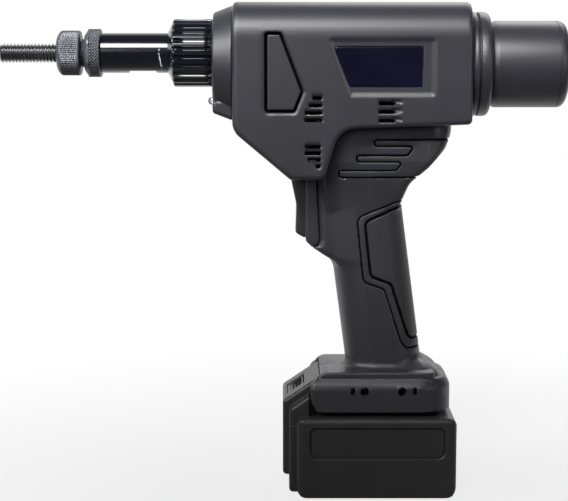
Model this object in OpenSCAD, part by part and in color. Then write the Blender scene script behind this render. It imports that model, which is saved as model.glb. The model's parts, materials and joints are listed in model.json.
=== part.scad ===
// Cordless setting tool for threaded rivets, in millimetres, +Z up, nose toward -X.
// The origin is the centre of the underside of the battery, on the plane of symmetry.
// Every sub-part is its own module; fits and positions follow from the sizes below.

/* [Body shell] */
// Width across the flat sides of the body
body_w = 72; // [68:1:80]
// Height of the body from its crown to its rear underside
body_h = 77; // [74:1:82]
// Length of the body between its collars
body_len = 147; // [143:1:160]
// Distance of the front face of the body ahead of the battery centre
body_ahead = 90; // [88:1:94]
// Height of the body axis above the underside of the battery
body_axis_h = 272; // [271:1:276]
// Radius along the two upper edges of the body
crown_r = 22; // [16:1:26]
// Radius along the two lower edges of the chin
chin_r = 7; // [4:1:9]
// Height of the underside of the chin above the underside of the battery
chin_h = 201.9; // [201:0.1:202.6]
// Wall of the two housing halves
wall = 3; // [2.6:0.1:3.2]

/* [Nose] */
// Rise of the nose axis above the body axis
nose_rise = 7; // [6:0.5:7.5]
// Crest diameter of the threaded mandrel (M12)
mandrel_d = 12; // [8:1:12]
// Length of mandrel that stands out of the anvil
mandrel_reach = 36; // [24:1:48]
// Diameter of the anvil head
anvil_d = 28; // [25:0.5:32]
// Length of the anvil head
anvil_len = 14; // [11:0.5:18]
// Bare thread between the anvil and its lock nut
neck_gap = 3.6; // [2:0.1:6]
// Diameter of the lock nut
lock_nut_d = 30; // [28:0.5:34]
// Length of the lock nut
lock_nut_len = 10; // [8:0.5:14]
// Outer diameter of the nose sleeve
sleeve_d = 25; // [25:0.5:29]
// Length of bare sleeve between the lock nut and the fluted ring
sleeve_bare = 41.2; // [39:0.2:55]
// Diameter of the fluted stroke ring
stroke_ring_d = 42; // [39:1:46]
// Length of the fluted stroke ring
stroke_ring_len = 28.5; // [24:0.5:32]
// Number of flutes around the stroke ring
flute_count = 20; // [14:1:22]
// Diameter of the front collar where it meets the body
collar_d = 71; // [69:0.5:72]
// Diameter of the front collar at its nose end
collar_nose_d = 61.5; // [58:0.5:66]
// Length of the front collar
collar_len = 12.5; // [11.5:0.5:16]

/* [Tail] */
// Diameter of the rear collar
rear_collar_d = 65; // [63:1:68]
// Length of the rear collar
rear_collar_len = 13; // [11:1:16]
// Diameter of the tail cap
tail_d = 54; // [54:1:58]
// Length of the tail cap
tail_len = 48; // [46:1:60]

/* [Handle and foot] */
// Depth of the grip, front to back
grip_depth = 48; // [46:1:52]
// Width of the grip
grip_w = 38; // [36:1:42]
// Lean of the grip, in degrees
grip_lean = 7.6; // [6.5:0.1:8.4]
// Width of the web between the grip and the body
web_w = 44; // [43:1:48]
// Thickness of the soft pads on the handle
pad_t = 1.2; // [0.8:0.1:1.4]
// Width of the foot
foot_w = 66; // [64:1:72]
// Height of the foot above the gap to the battery
foot_h = 25; // [24.5:0.1:27]

/* [Trigger] */
// Travel of the trigger
trigger_travel = 6; // [4:0.5:6.5]
// Width of the trigger
trigger_w = 17; // [14:0.5:18]
// Width of the fixed trigger guide
guide_w = 28; // [26:0.5:30]

/* [Battery] */
// Height of the main block of the battery
pack_h = 52.4; // [51:0.1:54]
// Diameter of one cell
cell_d = 18.4; // [17.8:0.1:19.4]
// Length of one cell
cell_len = 65; // [62:0.5:70]
// Room beside the ends of the cells
cell_end_room = 2.1; // [1:0.1:4]
// Wall of the battery case
pack_wall = 2.4; // [2:0.1:2.8]
// Travel of the release button
button_travel = 4; // [3:0.5:4]

/* [Drive train] */
// Pulling stroke of the mandrel
stroke = 8; // [5:0.5:8]
// Diameter of the pulling screw
screw_d = 18; // [17:0.2:18.4]
// Outer diameter of the motor stator
stator_d = 36; // [32:0.5:36.5]
// Module of the spur gears
spur_module = 1; // [0.98:0.01:1]
// Teeth of the pinion
pinion_teeth = 14; // [14:1:14]
// Teeth of the idler
idler_teeth = 19; // [19:2:19]
// Teeth of the gear on the nut
nut_teeth = 44; // [44:2:44]
// Module of the planetary stage
planet_module = 0.75; // [0.7:0.01:0.76]

/* [Fits] */
// Radial gap between pieces that turn or slide in one another
run_gap = 0.3; // [0.25:0.05:0.35]
// Radial gap of a shaft in its bearing
bearing_gap = 0.05; // [0.03:0.01:0.08]
// Axial gap between faces that turn against one another
face_gap = 0.2; // [0.15:0.05:0.3]
// Gap between pieces that sit in one another without moving
seat_gap = 0.05; // [0.02:0.01:0.08]

/* [Hidden] */
$fn = 64;
eps = 0.01;
far = 400;
arc_steps = 6;

// Colours of the pieces
shell_colour = [0.16, 0.165, 0.18];
soft_colour = [0.09, 0.09, 0.10];
dark_colour = [0.05, 0.05, 0.055];
steel_colour = [0.45, 0.45, 0.47];
black_steel = [0.12, 0.12, 0.13];
copper_colour = [0.72, 0.42, 0.2];
board_colour = [0.1, 0.32, 0.16];
cell_colour = [0.2, 0.42, 0.62];
plate_colour = [0.04, 0.05, 0.09];
clear_colour = [0.8, 0.86, 0.9, 0.6];

// Axes
body_z = body_axis_h;
nose_z = body_z + nose_rise;
body_front = -body_ahead;
body_rear = body_front + body_len;
body_top = body_z + body_h / 2;
body_low = body_z - body_h / 2;
spur_centres = spur_module * (pinion_teeth + 2 * idler_teeth + nut_teeth) / 2;
motor_z = nose_z - spur_centres;
idler_z = motor_z + spur_module * (pinion_teeth + idler_teeth) / 2;

// Chain of faces along the nose, front to back
collar_front = body_front - collar_len;
ring_rear = collar_front - 0.5;
ring_front = ring_rear - stroke_ring_len;
ring_cone = 3.3;
collar_z = body_z + 1.2;
sleeve_front = ring_front - sleeve_bare;
lock_rear = sleeve_front - face_gap;
lock_front = lock_rear - lock_nut_len;
anvil_rear = lock_front - neck_gap;
anvil_front = anvil_rear - anvil_len;
mandrel_tip = anvil_front - mandrel_reach;
mandrel_r = mandrel_d / 2;
neck_r = mandrel_r + 3;
anvil_bore_r = mandrel_r + run_gap + 0.1;
sleeve_r = sleeve_d / 2;
draw_r = neck_r + 0.5;
sleeve_bore_r = draw_r + run_gap;
sleeve_step = sleeve_front + 8.7;
spigot_end = sleeve_step - 0.5;
sleeve_flat = 1.4;
sleeve_flange_r = sleeve_r + 4;
sleeve_flange_x = collar_front + 6;
sleeve_end = sleeve_flange_x + 4;
draw_front = sleeve_step + 2.5;
lip_rear = draw_front + 4.3;
pocket_r = draw_r - 1.4;
flange_r = pocket_r - run_gap;
flange_front = lip_rear + face_gap;
flange_rear = flange_front + 5;
hex_af = mandrel_d * 0.75;
hex_end = flange_rear + stroke + 14;
socket_front = flange_rear + stroke + 1;
socket_floor = hex_end + stroke + 1;
socket_rear = socket_floor + 2;
socket_r = pocket_r - 1;
screw_front = hex_end + 2;
boss_hollow = socket_rear + 4;
boss_rear = boss_hollow + 2;
screw_r = screw_d / 2;
shaft_r = 4.1;
screw_bore_r = shaft_r + 0.4;

// Gear train, along X
thrust_front = sleeve_end;
thrust_len = 7.3;
thrust_r = 21;
nut_front = thrust_front + thrust_len + face_gap;
spur_front = body_front + 16;
spur_len = 10;
spur_rear = spur_front + spur_len;
mid_front = spur_rear + 1;
mid_len = 6;
mid_rear = mid_front + mid_len;
nut_r = screw_r + 7;
nut_rear = mid_rear + 15;
nut_bearing_r = nut_r + 5;
ring_len = 11;
planetary_rear = mid_rear + ring_len;
carrier_front = mid_rear + 0.5;
carrier_len = 2.5;
planet_front = carrier_front + carrier_len + 0.3;
planet_len = 7;
planet_rear = planet_front + planet_len;
motor_plate_len = 2.5;
motor_plate_rear = planetary_rear + motor_plate_len;
fan_front = motor_plate_rear + 1;
fan_len = 6.5;
fan_rear = fan_front + fan_len;
stator_front = fan_rear + 2;
stator_len = 34;
stator_rear = stator_front + stator_len;
rear_bearing_x = stator_rear + 6;
bearing_len = 5;
sun_teeth = 12;
planet_teeth = 18;
annulus_teeth = 48;
planet_orbit = planet_module * (sun_teeth + planet_teeth) / 2;
ring_r = planet_module * annulus_teeth / 2 + 3;
rotor_shaft_r = 3;
pinion_shaft_r = 4;
stator_r = stator_d / 2;
rotor_r = stator_r * 0.62;
bearing_r = 6.5;
gear_pressure = 25;
gear_addendum = 0.85;
gear_dedendum = 1.1;
gear_thin = 0.12;

// Pulling screw and its key
key_front = stator_rear + 4;
key_len = 8;
key_w = 6;
screw_end = key_front + key_len + 2;
guide_front = key_front - 6;
guide_len = key_len + stroke + 18;
guide_rear = guide_front + guide_len;
key_r = screw_r + 4;
guide_bore_r = key_r + run_gap;
guide_r = guide_bore_r + 3.6;
key_reach = guide_r - 0.6;

// Tail
rear_collar_end = body_rear + rear_collar_len;
tail_end = rear_collar_end + tail_len;
tail_r = tail_d / 2;
plug_r = tail_r + 1;
plug_front = body_rear - 6;
spin_r = 14.5;
spin_front = body_rear + 5;
spin_rear = tail_end - 10;
spin_seat = 8;

// Plan of the battery, from its one row of cells
cell_count = 5;
cell_gap = 0.8;
cell_pitch = cell_d + cell_gap;
pack_len = cell_count * cell_pitch + 2 * pack_wall + 0.2;
pack_w = cell_len + 2 * (pack_wall + cell_end_room);
pack_half = pack_w / 2;
pack_front = -pack_len / 2;
pack_rear = pack_len / 2;

// Handle, foot and battery heights
foot_low = pack_h + 2.6;
foot_top = foot_low + foot_h;
foot_step = foot_top - 6;
lip_h = 4.5;
channel_top = foot_low + 9.5;
floor_top = channel_top + 8;
lip_top = foot_low + lip_h;
throat_h = chin_h - 3.2;
grip_foot_x = 4.7;
grip_foot_z = 90;
grip_low = floor_top - grip_foot_z;
grip_len = chin_h + 4 - grip_foot_z - grip_low;
web_low = throat_h - 5.7;
web_top = body_low + 11.5;
web_front_x = body_front + 56;
foot_front_x = pack_front + 8.5;
foot_rear_x = pack_rear - 3;
foot_mid_x = (foot_front_x + foot_rear_x) / 2;
foot_half = foot_w / 2;
slope_low = [pack_front - 7.7, pack_h + 9.4];
slope_high = [pack_front + 21.5, pack_h + 29.2];
slope_run = (slope_high[1] - slope_low[1]) / (slope_high[0] - slope_low[0]);
channel_half = 24.2;
neck_half = 20;
channel_rear = foot_rear_x - 7.5;
board_z = floor_top + 1.5;
board_t = 1.6;
block_front = foot_mid_x + 17.75;
block_rear = foot_rear_x - 12;
block_half = 18;
blade_y = block_half * 2 / 3;
blade_t = 0.8;

// Trigger
trigger_half = trigger_w / 2;
guide_half = guide_w / 2;
trigger_top = chin_h - 1;
trigger_low = throat_h - 35.7;
trigger_rear = body_front + 53;
guide_front_x = body_front + 45.4;
seam_top_x = body_front + 52.1;
seam_low_x = body_front + 54.4;
shoulder_half = 16;
tongue_x = trigger_rear + trigger_travel;
tongue_t = 1.5;
guide_low = throat_h - 41.5;
switch_front = trigger_rear + trigger_travel + 2;
switch_rear = grip_foot_x + grip_depth / 2 / cos(grip_lean) - (throat_h - grip_foot_z) * tan(grip_lean) - wall - 3.5;
switch_len = switch_rear - switch_front;
switch_half = 11;
switch_low = trigger_low + 1;
switch_top = trigger_top - 2;
guide_pocket = max(trigger_half + 2, switch_half) + run_gap;
plunger_z = (trigger_top + trigger_low) / 2;
plunger_r = 3;
plunger_end = switch_front + 9;

// Battery
pack_split = pack_h - 5.4;
step_mid = 4.5;
step_front = 8.5;
step_mid_half = pack_half - 6;
step_front_half = pack_half - 11.5;
step_mid_z = 3;
step_front_z = 13;
pack_corner_r = 8;
pack_top_r = 6;
hump_drop = 7;
pack_board_z = pack_split - 4.5;
pack_board_t = 1.6;
cell_z = (pack_wall + pack_board_z) / 2;
cell_slack = 0.05;
head_half = channel_half - run_gap;
head_neck_half = neck_half - run_gap;
head_low = lip_top + run_gap;
head_top = channel_top - run_gap;
head_rear = channel_rear - 0.5;
hump_rear = foot_front_x - run_gap;
slot_half = 1.8;
contact_z = pack_board_z + pack_board_t;
contact_len = (block_rear - block_front) * 0.65;
button_half = 12;
button_front = pack_front - 5.5;
button_rear = pack_front + 5;
button_low = pack_split + 1.5;
button_floor = button_low - button_travel - 0.8;
label_high = pack_split - 1;
label_low = label_high - 19;
label_front = pack_front + 9;
label_rear = pack_rear - 8;
label_sink = 1;
label_t = 0.6;

// Screws through the housing: [x, z] of each
body_screws = [
    [body_front + 55, body_top - 9.5],
    [body_rear - 12, body_top - 9.5],
    [body_rear - 12, body_low + 8.5],
    [body_front + 50, chin_h + 4.5],
    [rear_bearing_x + 9, throat_h + 11],
    [grip_foot_x - 5, grip_foot_z + 40]
];
foot_screw_z = (channel_top + floor_top) / 2;
foot_screw_places = [[foot_mid_x - 10.3, foot_screw_z], [foot_mid_x + 13.3, foot_screw_z]];
screw_shank_r = 1.5;
screw_head_r = 2.4;
screw_head_y = 12;
screw_head_h = 2.2;
screw_reach = 10;
boss_r = 4.5;

// Outline through the given corners, each [x, y, radius], with its corners rounded
function unit2(v) = v / norm(v);
function corner_arc(a, p, b) =
    let (
        q = [p[0], p[1]],
        u = unit2([a[0], a[1]] - q),
        v = unit2([b[0], b[1]] - q),
        half = acos(max(-1, min(1, u * v))) / 2,
        r = p[2],
        c = q + unit2(u + v) * r / sin(half),
        s = q + u * r / tan(half) - c,
        e = q + v * r / tan(half) - c,
        a0 = atan2(s[1], s[0]),
        turn = atan2(s[0] * e[1] - s[1] * e[0], s * e)
    )
    [for (i = [0 : arc_steps]) c + r * [cos(a0 + turn * i / arc_steps), sin(a0 + turn * i / arc_steps)]];
function rounded_path(pts) =
    let (n = len(pts))
    [for (i = [0 : n - 1])
        each (pts[i][2] == 0
            ? [[pts[i][0], pts[i][1]]]
            : corner_arc(pts[(i + n - 1) % n], pts[i], pts[(i + 1) % n]))];

// Points of a spur gear with a tooth on the first axis
function involute(a) = tan(a) * 180 / PI - a;
function tooth_half(r, pitch_r, base_r, half_at_pitch) =
    half_at_pitch + involute(gear_pressure) - involute(acos(min(1, base_r / max(r, base_r))));
function gear_points(teeth, module_size, addendum, dedendum, thin) =
    let (
        pitch_r = module_size * teeth / 2,
        base_r = pitch_r * cos(gear_pressure),
        tip_r = pitch_r + addendum * module_size,
        root_r = pitch_r - dedendum * module_size,
        at_pitch = (PI * module_size / 4 - thin / 2) / pitch_r * 180 / PI,
        first_r = max(base_r, root_r),
        radii = concat([root_r], [for (i = [0 : 4]) first_r + (tip_r - first_r) * i / 4]),
        count = len(radii)
    )
    [for (t = [0 : teeth - 1])
        each concat(
            [for (i = [0 : count - 1])
                let (a = 360 * t / teeth - tooth_half(radii[i], pitch_r, base_r, at_pitch))
                radii[i] * [cos(a), sin(a)]],
            [for (i = [count - 1 : -1 : 0])
                let (a = 360 * t / teeth + tooth_half(radii[i], pitch_r, base_r, at_pitch))
                radii[i] * [cos(a), sin(a)]])];

// Placing helpers: a 2D shape in (Y, Z) drawn along X, and one in (X, Z) drawn across Y
module along_x(x0, x1) {
    translate([x0, 0, 0])
        rotate([90, 0, 90])
            linear_extrude(height = x1 - x0)
                children();
}
module across_y(w) {
    rotate([90, 0, 0])
        linear_extrude(height = w, center = true)
            children();
}
module side_cut(y0, y1) {
    translate([0, y1, 0])
        rotate([90, 0, 0])
            linear_extrude(height = y1 - y0)
                children();
}
module rod(x0, x1, r, z, y = 0) {
    translate([x0, y, z])
        rotate([0, 90, 0])
            cylinder(h = x1 - x0, r = r);
}
module cone_rod(x0, x1, r0, r1, z) {
    translate([x0, 0, z])
        rotate([0, 90, 0])
            cylinder(h = x1 - x0, r1 = r0, r2 = r1);
}
module pipe(x0, x1, r_out, r_in, z) {
    difference() {
        rod(x0, x1, r_out, z);
        rod(x0 - 1, x1 + 1, r_in, z);
    }
}
module hex_rod(x0, x1, af, z) {
    translate([x0, 0, z])
        rotate([0, 90, 0])
            cylinder(h = x1 - x0, r = af / 2 / cos(30), $fn = 6);
}
module block(x0, x1, y0, y1, z0, z1) {
    translate([x0, y0, z0])
        cube([x1 - x0, y1 - y0, z1 - z0]);
}
module gear_disc(x0, x1, z, teeth, module_size, turn) {
    translate([0, 0, z])
        along_x(x0, x1)
            rotate(turn)
                polygon(gear_points(teeth, module_size, gear_addendum, gear_dedendum, gear_thin * module_size));
}

// One unbroken coil of wire along Z, from z = 0 to z = length
module coil(coil_r, wire_r, turns, length) {
    sides = 8;
    per_turn = 20;
    rings = turns * per_turn;
    rise = length - 2 * wire_r;
    pitch = rise / turns;
    lean = atan2(pitch, 2 * PI * coil_r);
    echo(least_self_gap = pitch * cos(lean) - 2 * wire_r);
    points = [for (i = [0 : rings], j = [0 : sides - 1])
        let (
            a = 360 * i / per_turn,
            b = 360 * j / sides,
            out = coil_r + wire_r * cos(b)
        )
        [
            out * cos(a) + wire_r * sin(b) * sin(lean) * sin(a),
            out * sin(a) - wire_r * sin(b) * sin(lean) * cos(a),
            wire_r + rise * i / rings + wire_r * sin(b) * cos(lean)
        ]];
    skin = [for (i = [0 : rings - 1], j = [0 : sides - 1])
        [i * sides + j, i * sides + (j + 1) % sides,
         (i + 1) * sides + (j + 1) % sides, (i + 1) * sides + j]];
    polyhedron(points = points, faces = concat([for (f = skin) [f[0], f[3], f[2], f[1]]],
        [[for (j = [0 : sides - 1]) j], [for (j = [sides - 1 : -1 : 0]) rings * sides + j]]));
}

// Outer forms of the housing; inset moves every face inward by that much
module body_side() {
    polygon(rounded_path([
        [body_front, body_top, 3],
        [body_rear, body_top, 4],
        [body_rear, body_low, 4],
        [body_front + 66.1, body_low - 0.7, 13],
        [body_front + 56.5, chin_h, 5],
        [body_front + 35.8, chin_h, 3],
        [body_front, body_low - 1.5, 12]
    ]));
}
module body_section() {
    polygon(rounded_path([
        [-body_w / 2, body_top, crown_r],
        [body_w / 2, body_top, crown_r],
        [body_w / 2, chin_h, chin_r],
        [-body_w / 2, chin_h, chin_r]
    ]));
}
module body_form(inset) {
    intersection() {
        across_y(body_w)
            offset(delta = -inset)
                body_side();
        along_x(body_front - 1, body_rear + 1)
            offset(delta = -inset)
                body_section();
    }
}
module web_side() {
    polygon(rounded_path([
        [web_front_x, web_top, 0],
        [body_rear - 8.8, web_top, 0],
        [body_rear - 9.6, body_low - 4, 8],
        [body_rear - 14.4, body_low - 13.5, 12],
        [body_rear - 25.2, throat_h + 9.2, 16],
        [body_rear - 36.2, throat_h - 0.1, 14],
        [body_rear - 38, web_low, 0],
        [web_front_x, web_low, 0]
    ]));
}
module web_plan() {
    polygon(rounded_path([
        [web_front_x - 1, -web_w / 2, 0],
        [body_rear - 8.8, -web_w / 2, 16],
        [body_rear - 8.8, web_w / 2, 16],
        [web_front_x - 1, web_w / 2, 0]
    ]));
}
module web_form(inset) {
    intersection() {
        across_y(web_w)
            offset(delta = -inset)
                web_side();
        translate([0, 0, web_low - 1])
            linear_extrude(height = web_top - web_low + 2)
                offset(delta = -inset)
                    web_plan();
    }
}
module grip_section(inset) {
    r = grip_w / 2 - inset;
    reach = (grip_depth - grip_w) / 2;
    translate([-reach, 0])
        circle(r = r);
    translate([reach, 0])
        circle(r = r);
    translate([-reach, -r])
        square([2 * reach, 2 * r]);
}
module grip_form(inset, longer) {
    translate([grip_foot_x, 0, grip_foot_z])
        rotate([0, -grip_lean, 0])
            translate([0, 0, grip_low - longer])
                linear_extrude(height = grip_len + 2 * longer)
                    grip_section(inset);
}
module foot_plan(inset, front, rear, half, rear_r) {
    polygon(rounded_path([
        [front, -half + inset, 3],
        [rear - inset, -half + inset, rear_r],
        [rear - inset, half - inset, rear_r],
        [front, half - inset, 3]
    ]));
}
module crown_side() {
    polygon(rounded_path([
        [grip_foot_x, foot_step - eps, 0],
        [grip_foot_x, foot_top + 4.5, 0],
        [foot_rear_x - 17.5, foot_top + 6.4, 8],
        [foot_rear_x - 4.6, foot_top + 4.2, 7],
        [foot_rear_x - 0.6, foot_step - 3, 3],
        [foot_rear_x - 0.6, foot_low + 8, 0],
        [foot_rear_x - 8, foot_low + 8, 0],
        [foot_rear_x - 8, foot_step - eps, 0]
    ]));
}
module crown_section() {
    polygon(rounded_path([
        [-foot_half + 9, foot_low, 0],
        [-foot_half + 9, foot_step, 3],
        [-grip_w / 2 + 3, foot_top + 8, 5],
        [grip_w / 2 - 3, foot_top + 8, 5],
        [foot_half - 9, foot_step, 3],
        [foot_half - 9, foot_low, 0]
    ]));
}
module foot_form() {
    difference() {
        union() {
            translate([0, 0, foot_low])
                linear_extrude(height = foot_step - foot_low)
                    foot_plan(0, foot_front_x, foot_rear_x, foot_half, 20);
            translate([0, 0, foot_step - eps])
                linear_extrude(height = foot_top - foot_step + eps)
                    foot_plan(4, foot_front_x + 4, foot_rear_x - 5.5, foot_half, 8);
            intersection() {
                across_y(foot_w)
                    crown_side();
                along_x(foot_front_x, foot_rear_x)
                    crown_section();
            }
        }
        across_y(foot_w + 2)
            polygon([
                [slope_low[0] - 20, slope_low[1] - 20 * slope_run],
                [slope_high[0] + 20, slope_high[1] + 20 * slope_run],
                [slope_high[0] + 20, slope_high[1] + 60],
                [slope_low[0] - 20, slope_high[1] + 60]
            ]);
    }
}
module foot_hollow() {
    block(foot_front_x - 1, channel_rear, -channel_half, channel_half, lip_top, channel_top);
    block(foot_front_x - 1, channel_rear, -neck_half, neck_half, foot_low - 1, lip_top + eps);
    block(block_front, block_rear, -block_half, block_half, channel_top - 1, floor_top + 1);
    translate([0, 0, floor_top])
        linear_extrude(height = foot_top - floor_top - wall)
            foot_plan(4 + wall, foot_front_x + 17, foot_rear_x - 5.5, foot_half, 8);
}
// Side features of the housing
module inlay_side() {
    polygon(rounded_path([
        [body_front + 20.1, body_top - 18.6, 2],
        [body_front + 29.9, body_top - 18.6, 2],
        [body_front + 43.6, body_top - 54.3, 2],
        [body_front + 38.5, body_top - 67, 2],
        [body_front + 20.1, body_top - 67, 2]
    ]));
}
module plate_side() {
    polygon(rounded_path([
        [body_front + 62, body_top - 27.2, 1.5],
        [body_front + 116.5, body_top - 27.2, 1.5],
        [body_front + 116, body_top - 51.8, 1.5],
        [body_front + 72, body_top - 51.8, 1.5]
    ]));
}
inlay_gap = 1.7;
inlay_sink = 0.3;
inlay_t = 1.2;
plate_sink = 0.8;
plate_t = 1.1;
module palm_side() {
    polygon(rounded_path([
        [far, body_low - 5.9, 0],
        [body_front + 87.3, body_low - 7.2, 2.4],
        [body_front + 87.3, body_low - 12.1, 2.4],
        [body_front + 111.7, body_low - 12.1, 1],
        [body_front + 108.4, body_low - 16.9, 1],
        [body_front + 76.3, body_low - 16.9, 2.4],
        [body_front + 76.3, body_low - 21.9, 2.4],
        [body_front + 104.8, body_low - 21.9, 1],
        [body_front + 101.3, body_low - 26.3, 1],
        [body_front + 65.3, body_low - 26.3, 2.4],
        [body_front + 65.3, body_low - 31.6, 2.4],
        [body_front + 93, body_low - 31.6, 0],
        [far, body_low - 29, 0]
    ]));
}
module band_side() {
    polygon(rounded_path([
        [far, throat_h - 5, 0],
        [14.7, throat_h - 10.7, 4],
        [-13, throat_h - 21.5, 6],
        [-8.6, throat_h - 63, 5],
        [4.6, throat_h - 67.5, 4],
        [15.4, throat_h - 101, 7],
        [19, throat_h - 106, 4],
        [far, throat_h - 106, 0]
    ]));
}
module pad_side() {
    polygon(rounded_path([
        [far, throat_h - 10, 0],
        [15.7, throat_h - 15.2, 4],
        [-6.8, throat_h - 25, 4],
        [-2.9, throat_h - 58.5, 3],
        [10, throat_h - 63.5, 5],
        [20.6, throat_h - 96.5, 4],
        [22.6, throat_h - 98.9, 2],
        [far, throat_h - 98.9, 0]
    ]));
}
groove_w = 1.2;
module pad_skin() {
    difference() {
        grip_form(0, 0);
        grip_form(pad_t, 1);
    }
}
module guide_side() {
    polygon(rounded_path([
        [guide_front_x, chin_h - 0.4, 1],
        [guide_front_x, trigger_low - 1.5, 3],
        [guide_front_x + 4.5, guide_low, 1.5],
        [seam_low_x - 1.2, guide_low + 2, 1.5],
        [seam_low_x, trigger_low - 0.6, 1.5],
        [seam_top_x, chin_h - 0.4, 0]
    ]));
}
module guide_solid() {
    across_y(guide_w)
        guide_side();
    block(seam_top_x - 1, tongue_x, -guide_pocket - tongue_t, guide_pocket + tongue_t,
        trigger_low + 4, trigger_top - 4);
}
module trigger_room() {
    block(trigger_rear - 2 - run_gap, switch_front, -guide_pocket, guide_pocket,
        trigger_low - run_gap, chin_h - 0.4);
}
module shoulder_side() {
    polygon(rounded_path([
        [seam_top_x, chin_h + 4, 0],
        [seam_low_x, trigger_low - 0.6, 1.5],
        [seam_low_x - 1.2, guide_low + 2, 1.5],
        [guide_front_x + 4.5, guide_low, 0],
        [body_front + 56.7, guide_low - 4.6, 5],
        [body_front + 62.4, guide_low - 7.6, 5],
        [body_front + 63.8, guide_low - 17, 0],
        [grip_foot_x - 10, guide_low - 17, 0],
        [grip_foot_x - 10, chin_h + 4, 0]
    ]));
}
lens_t = 1.6;
lens_half = 9;
lens_proud = 1.2;
module lens_side() {
    dir = unit2([35.8, -(body_low - 1.5 - chin_h)]);
    out = [dir[1], -dir[0]];
    start = [body_front, body_low - 1.5] + dir * 5.5;
    finish = start + dir * 35;
    polygon([
        start + out * lens_proud,
        finish + out * lens_proud,
        finish - out * (lens_t - lens_proud + 1),
        start - out * (lens_t - lens_proud + 1)
    ]);
}

// Air slots in the sides of the body: [front, rear, middle height]
slot_h = 2.3;
slots = [
    [body_front + 49.1, body_front + 55, body_top - 57.4],
    [body_front + 47, body_front + 55, body_top - 62.1],
    [body_front + 44.6, body_front + 55, body_top - 66.6],
    [body_front + 44.4, body_front + 55, body_top - 71],
    [body_front + 44.8, body_front + 54.2, throat_h + 24.6],
    [body_front + 44.6, body_front + 54.2, throat_h + 20.6],
    [body_front + 46.4, body_front + 54.2, throat_h + 16.5],
    [body_front + 51.3, body_front + 54.2, throat_h + 12.5],
    [body_front + 89.6, body_front + 99.5, body_top - 60.6],
    [body_front + 89.6, body_front + 99.5, body_top - 65.9],
    [body_front + 89.6, body_front + 99.5, body_top - 71.3]
];
module air_slots() {
    for (s = slots)
        for (side = [-1, 1])
            translate([s[0], side * body_w / 2 - 5, s[2] - slot_h / 2])
                cube([s[1] - s[0], 10, slot_h]);
}

// Ribs and bosses left standing inside the housing
rib_t = 3;
module rib_slabs() {
    block(mid_rear, mid_rear + rib_t, -far, far, motor_z + ring_r + 1, far);
    block(guide_front, guide_front + rib_t, -far, far, nose_z - guide_r - 7, far);
    block(guide_rear - rib_t, guide_rear, -far, far, nose_z - guide_r - 7, far);
    block(rear_bearing_x, rear_bearing_x + bearing_len, -far, far, motor_z - 14, motor_z + 12);
    block(switch_front + 1, switch_front + switch_len - 1, -far, far, plunger_z - 1.5, plunger_z + 1.5);
    block(stator_front + 4, stator_front + 4 + rib_t, -far, far, web_low - 1, motor_z);
    for (s = body_screws)
        translate([s[0], 0, s[1]])
            rotate([90, 0, 0])
                cylinder(h = 2 * far, r = boss_r, center = true);
}
module housing_cavity() {
    difference() {
        union() {
            body_form(wall);
            web_form(wall);
            grip_form(wall, 1);
        }
        rib_slabs();
        block(-far, far, -far, far, -far, floor_top);
    }
    foot_hollow();
}
module inner_bores() {
    rod(body_front - 1, body_front + wall + 1, gear_case_r + seat_gap, body_z);
    rod(plug_front - 1, body_rear + 1, plug_r + seat_gap, body_z);
    rod(mid_rear - 1, mid_rear + rib_t + 1, nut_r + 4, nose_z);
    rod(guide_front - 1, guide_rear + 1, guide_r + seat_gap, nose_z);
    rod(rear_bearing_x - 1, rear_bearing_x + bearing_len + 1, bearing_r + seat_gap, motor_z);
    rod(stator_front, stator_rear + 1, stator_r + seat_gap, motor_z);
    block(switch_front - 1, switch_front + switch_len + 1, -switch_half - seat_gap, switch_half + seat_gap,
        switch_low - 1, switch_top + 1);
}
gear_case_r = 32;
module screw_holes(places, head_side) {
    for (s = places)
        translate([s[0], 0, s[1]])
            rotate([head_side * 90, 0, 0]) {
                translate([0, 0, -screw_reach - 1])
                    cylinder(h = screw_reach + 1 + eps, r = screw_shank_r + seat_gap);
                cylinder(h = screw_head_y + eps, r = screw_shank_r + 0.2);
                translate([0, 0, screw_head_y])
                    cylinder(h = far, r = screw_head_r + 0.2);
            }
}
module shell_cuts() {
    housing_cavity();
    inner_bores();
    air_slots();
    screw_holes(body_screws, -1);
    screw_holes(foot_screw_places, 1);
    guide_solid();
    trigger_room();
    for (side = [-1, 1])
        side_cut(side > 0 ? body_w / 2 - plate_sink - plate_t : -far,
            side > 0 ? far : -body_w / 2 + plate_sink + plate_t)
            plate_side();
    difference() {
        across_y(far)
            inlay_side();
        body_form(inlay_sink + inlay_t);
    }
    difference() {
        across_y(far)
            palm_side();
        web_form(pad_t);
        body_form(0);
    }
    intersection() {
        across_y(far)
            band_side();
        pad_skin();
    }
    across_y(2 * lens_half)
        lens_side();
}
module body_shell() {
    difference() {
        body_form(0);
        shell_cuts();
    }
}
module handle_shell() {
    difference() {
        union() {
            web_form(0);
            grip_form(0, 0);
            across_y(2 * shoulder_half)
                shoulder_side();
            foot_form();
        }
        body_form(0);
        shell_cuts();
    }
}
module left_half() {
    block(-far, far, -far, 0, -far, far);
}
module right_half() {
    block(-far, far, 0, far, -far, far);
}
module body_left() {
    color(shell_colour)
        intersection() {
            body_shell();
            left_half();
        }
}
module body_right() {
    color(shell_colour)
        intersection() {
            body_shell();
            right_half();
        }
}
module handle_left() {
    color(shell_colour)
        intersection() {
            handle_shell();
            left_half();
        }
}
module handle_right() {
    color(shell_colour)
        intersection() {
            handle_shell();
            right_half();
        }
}

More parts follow.
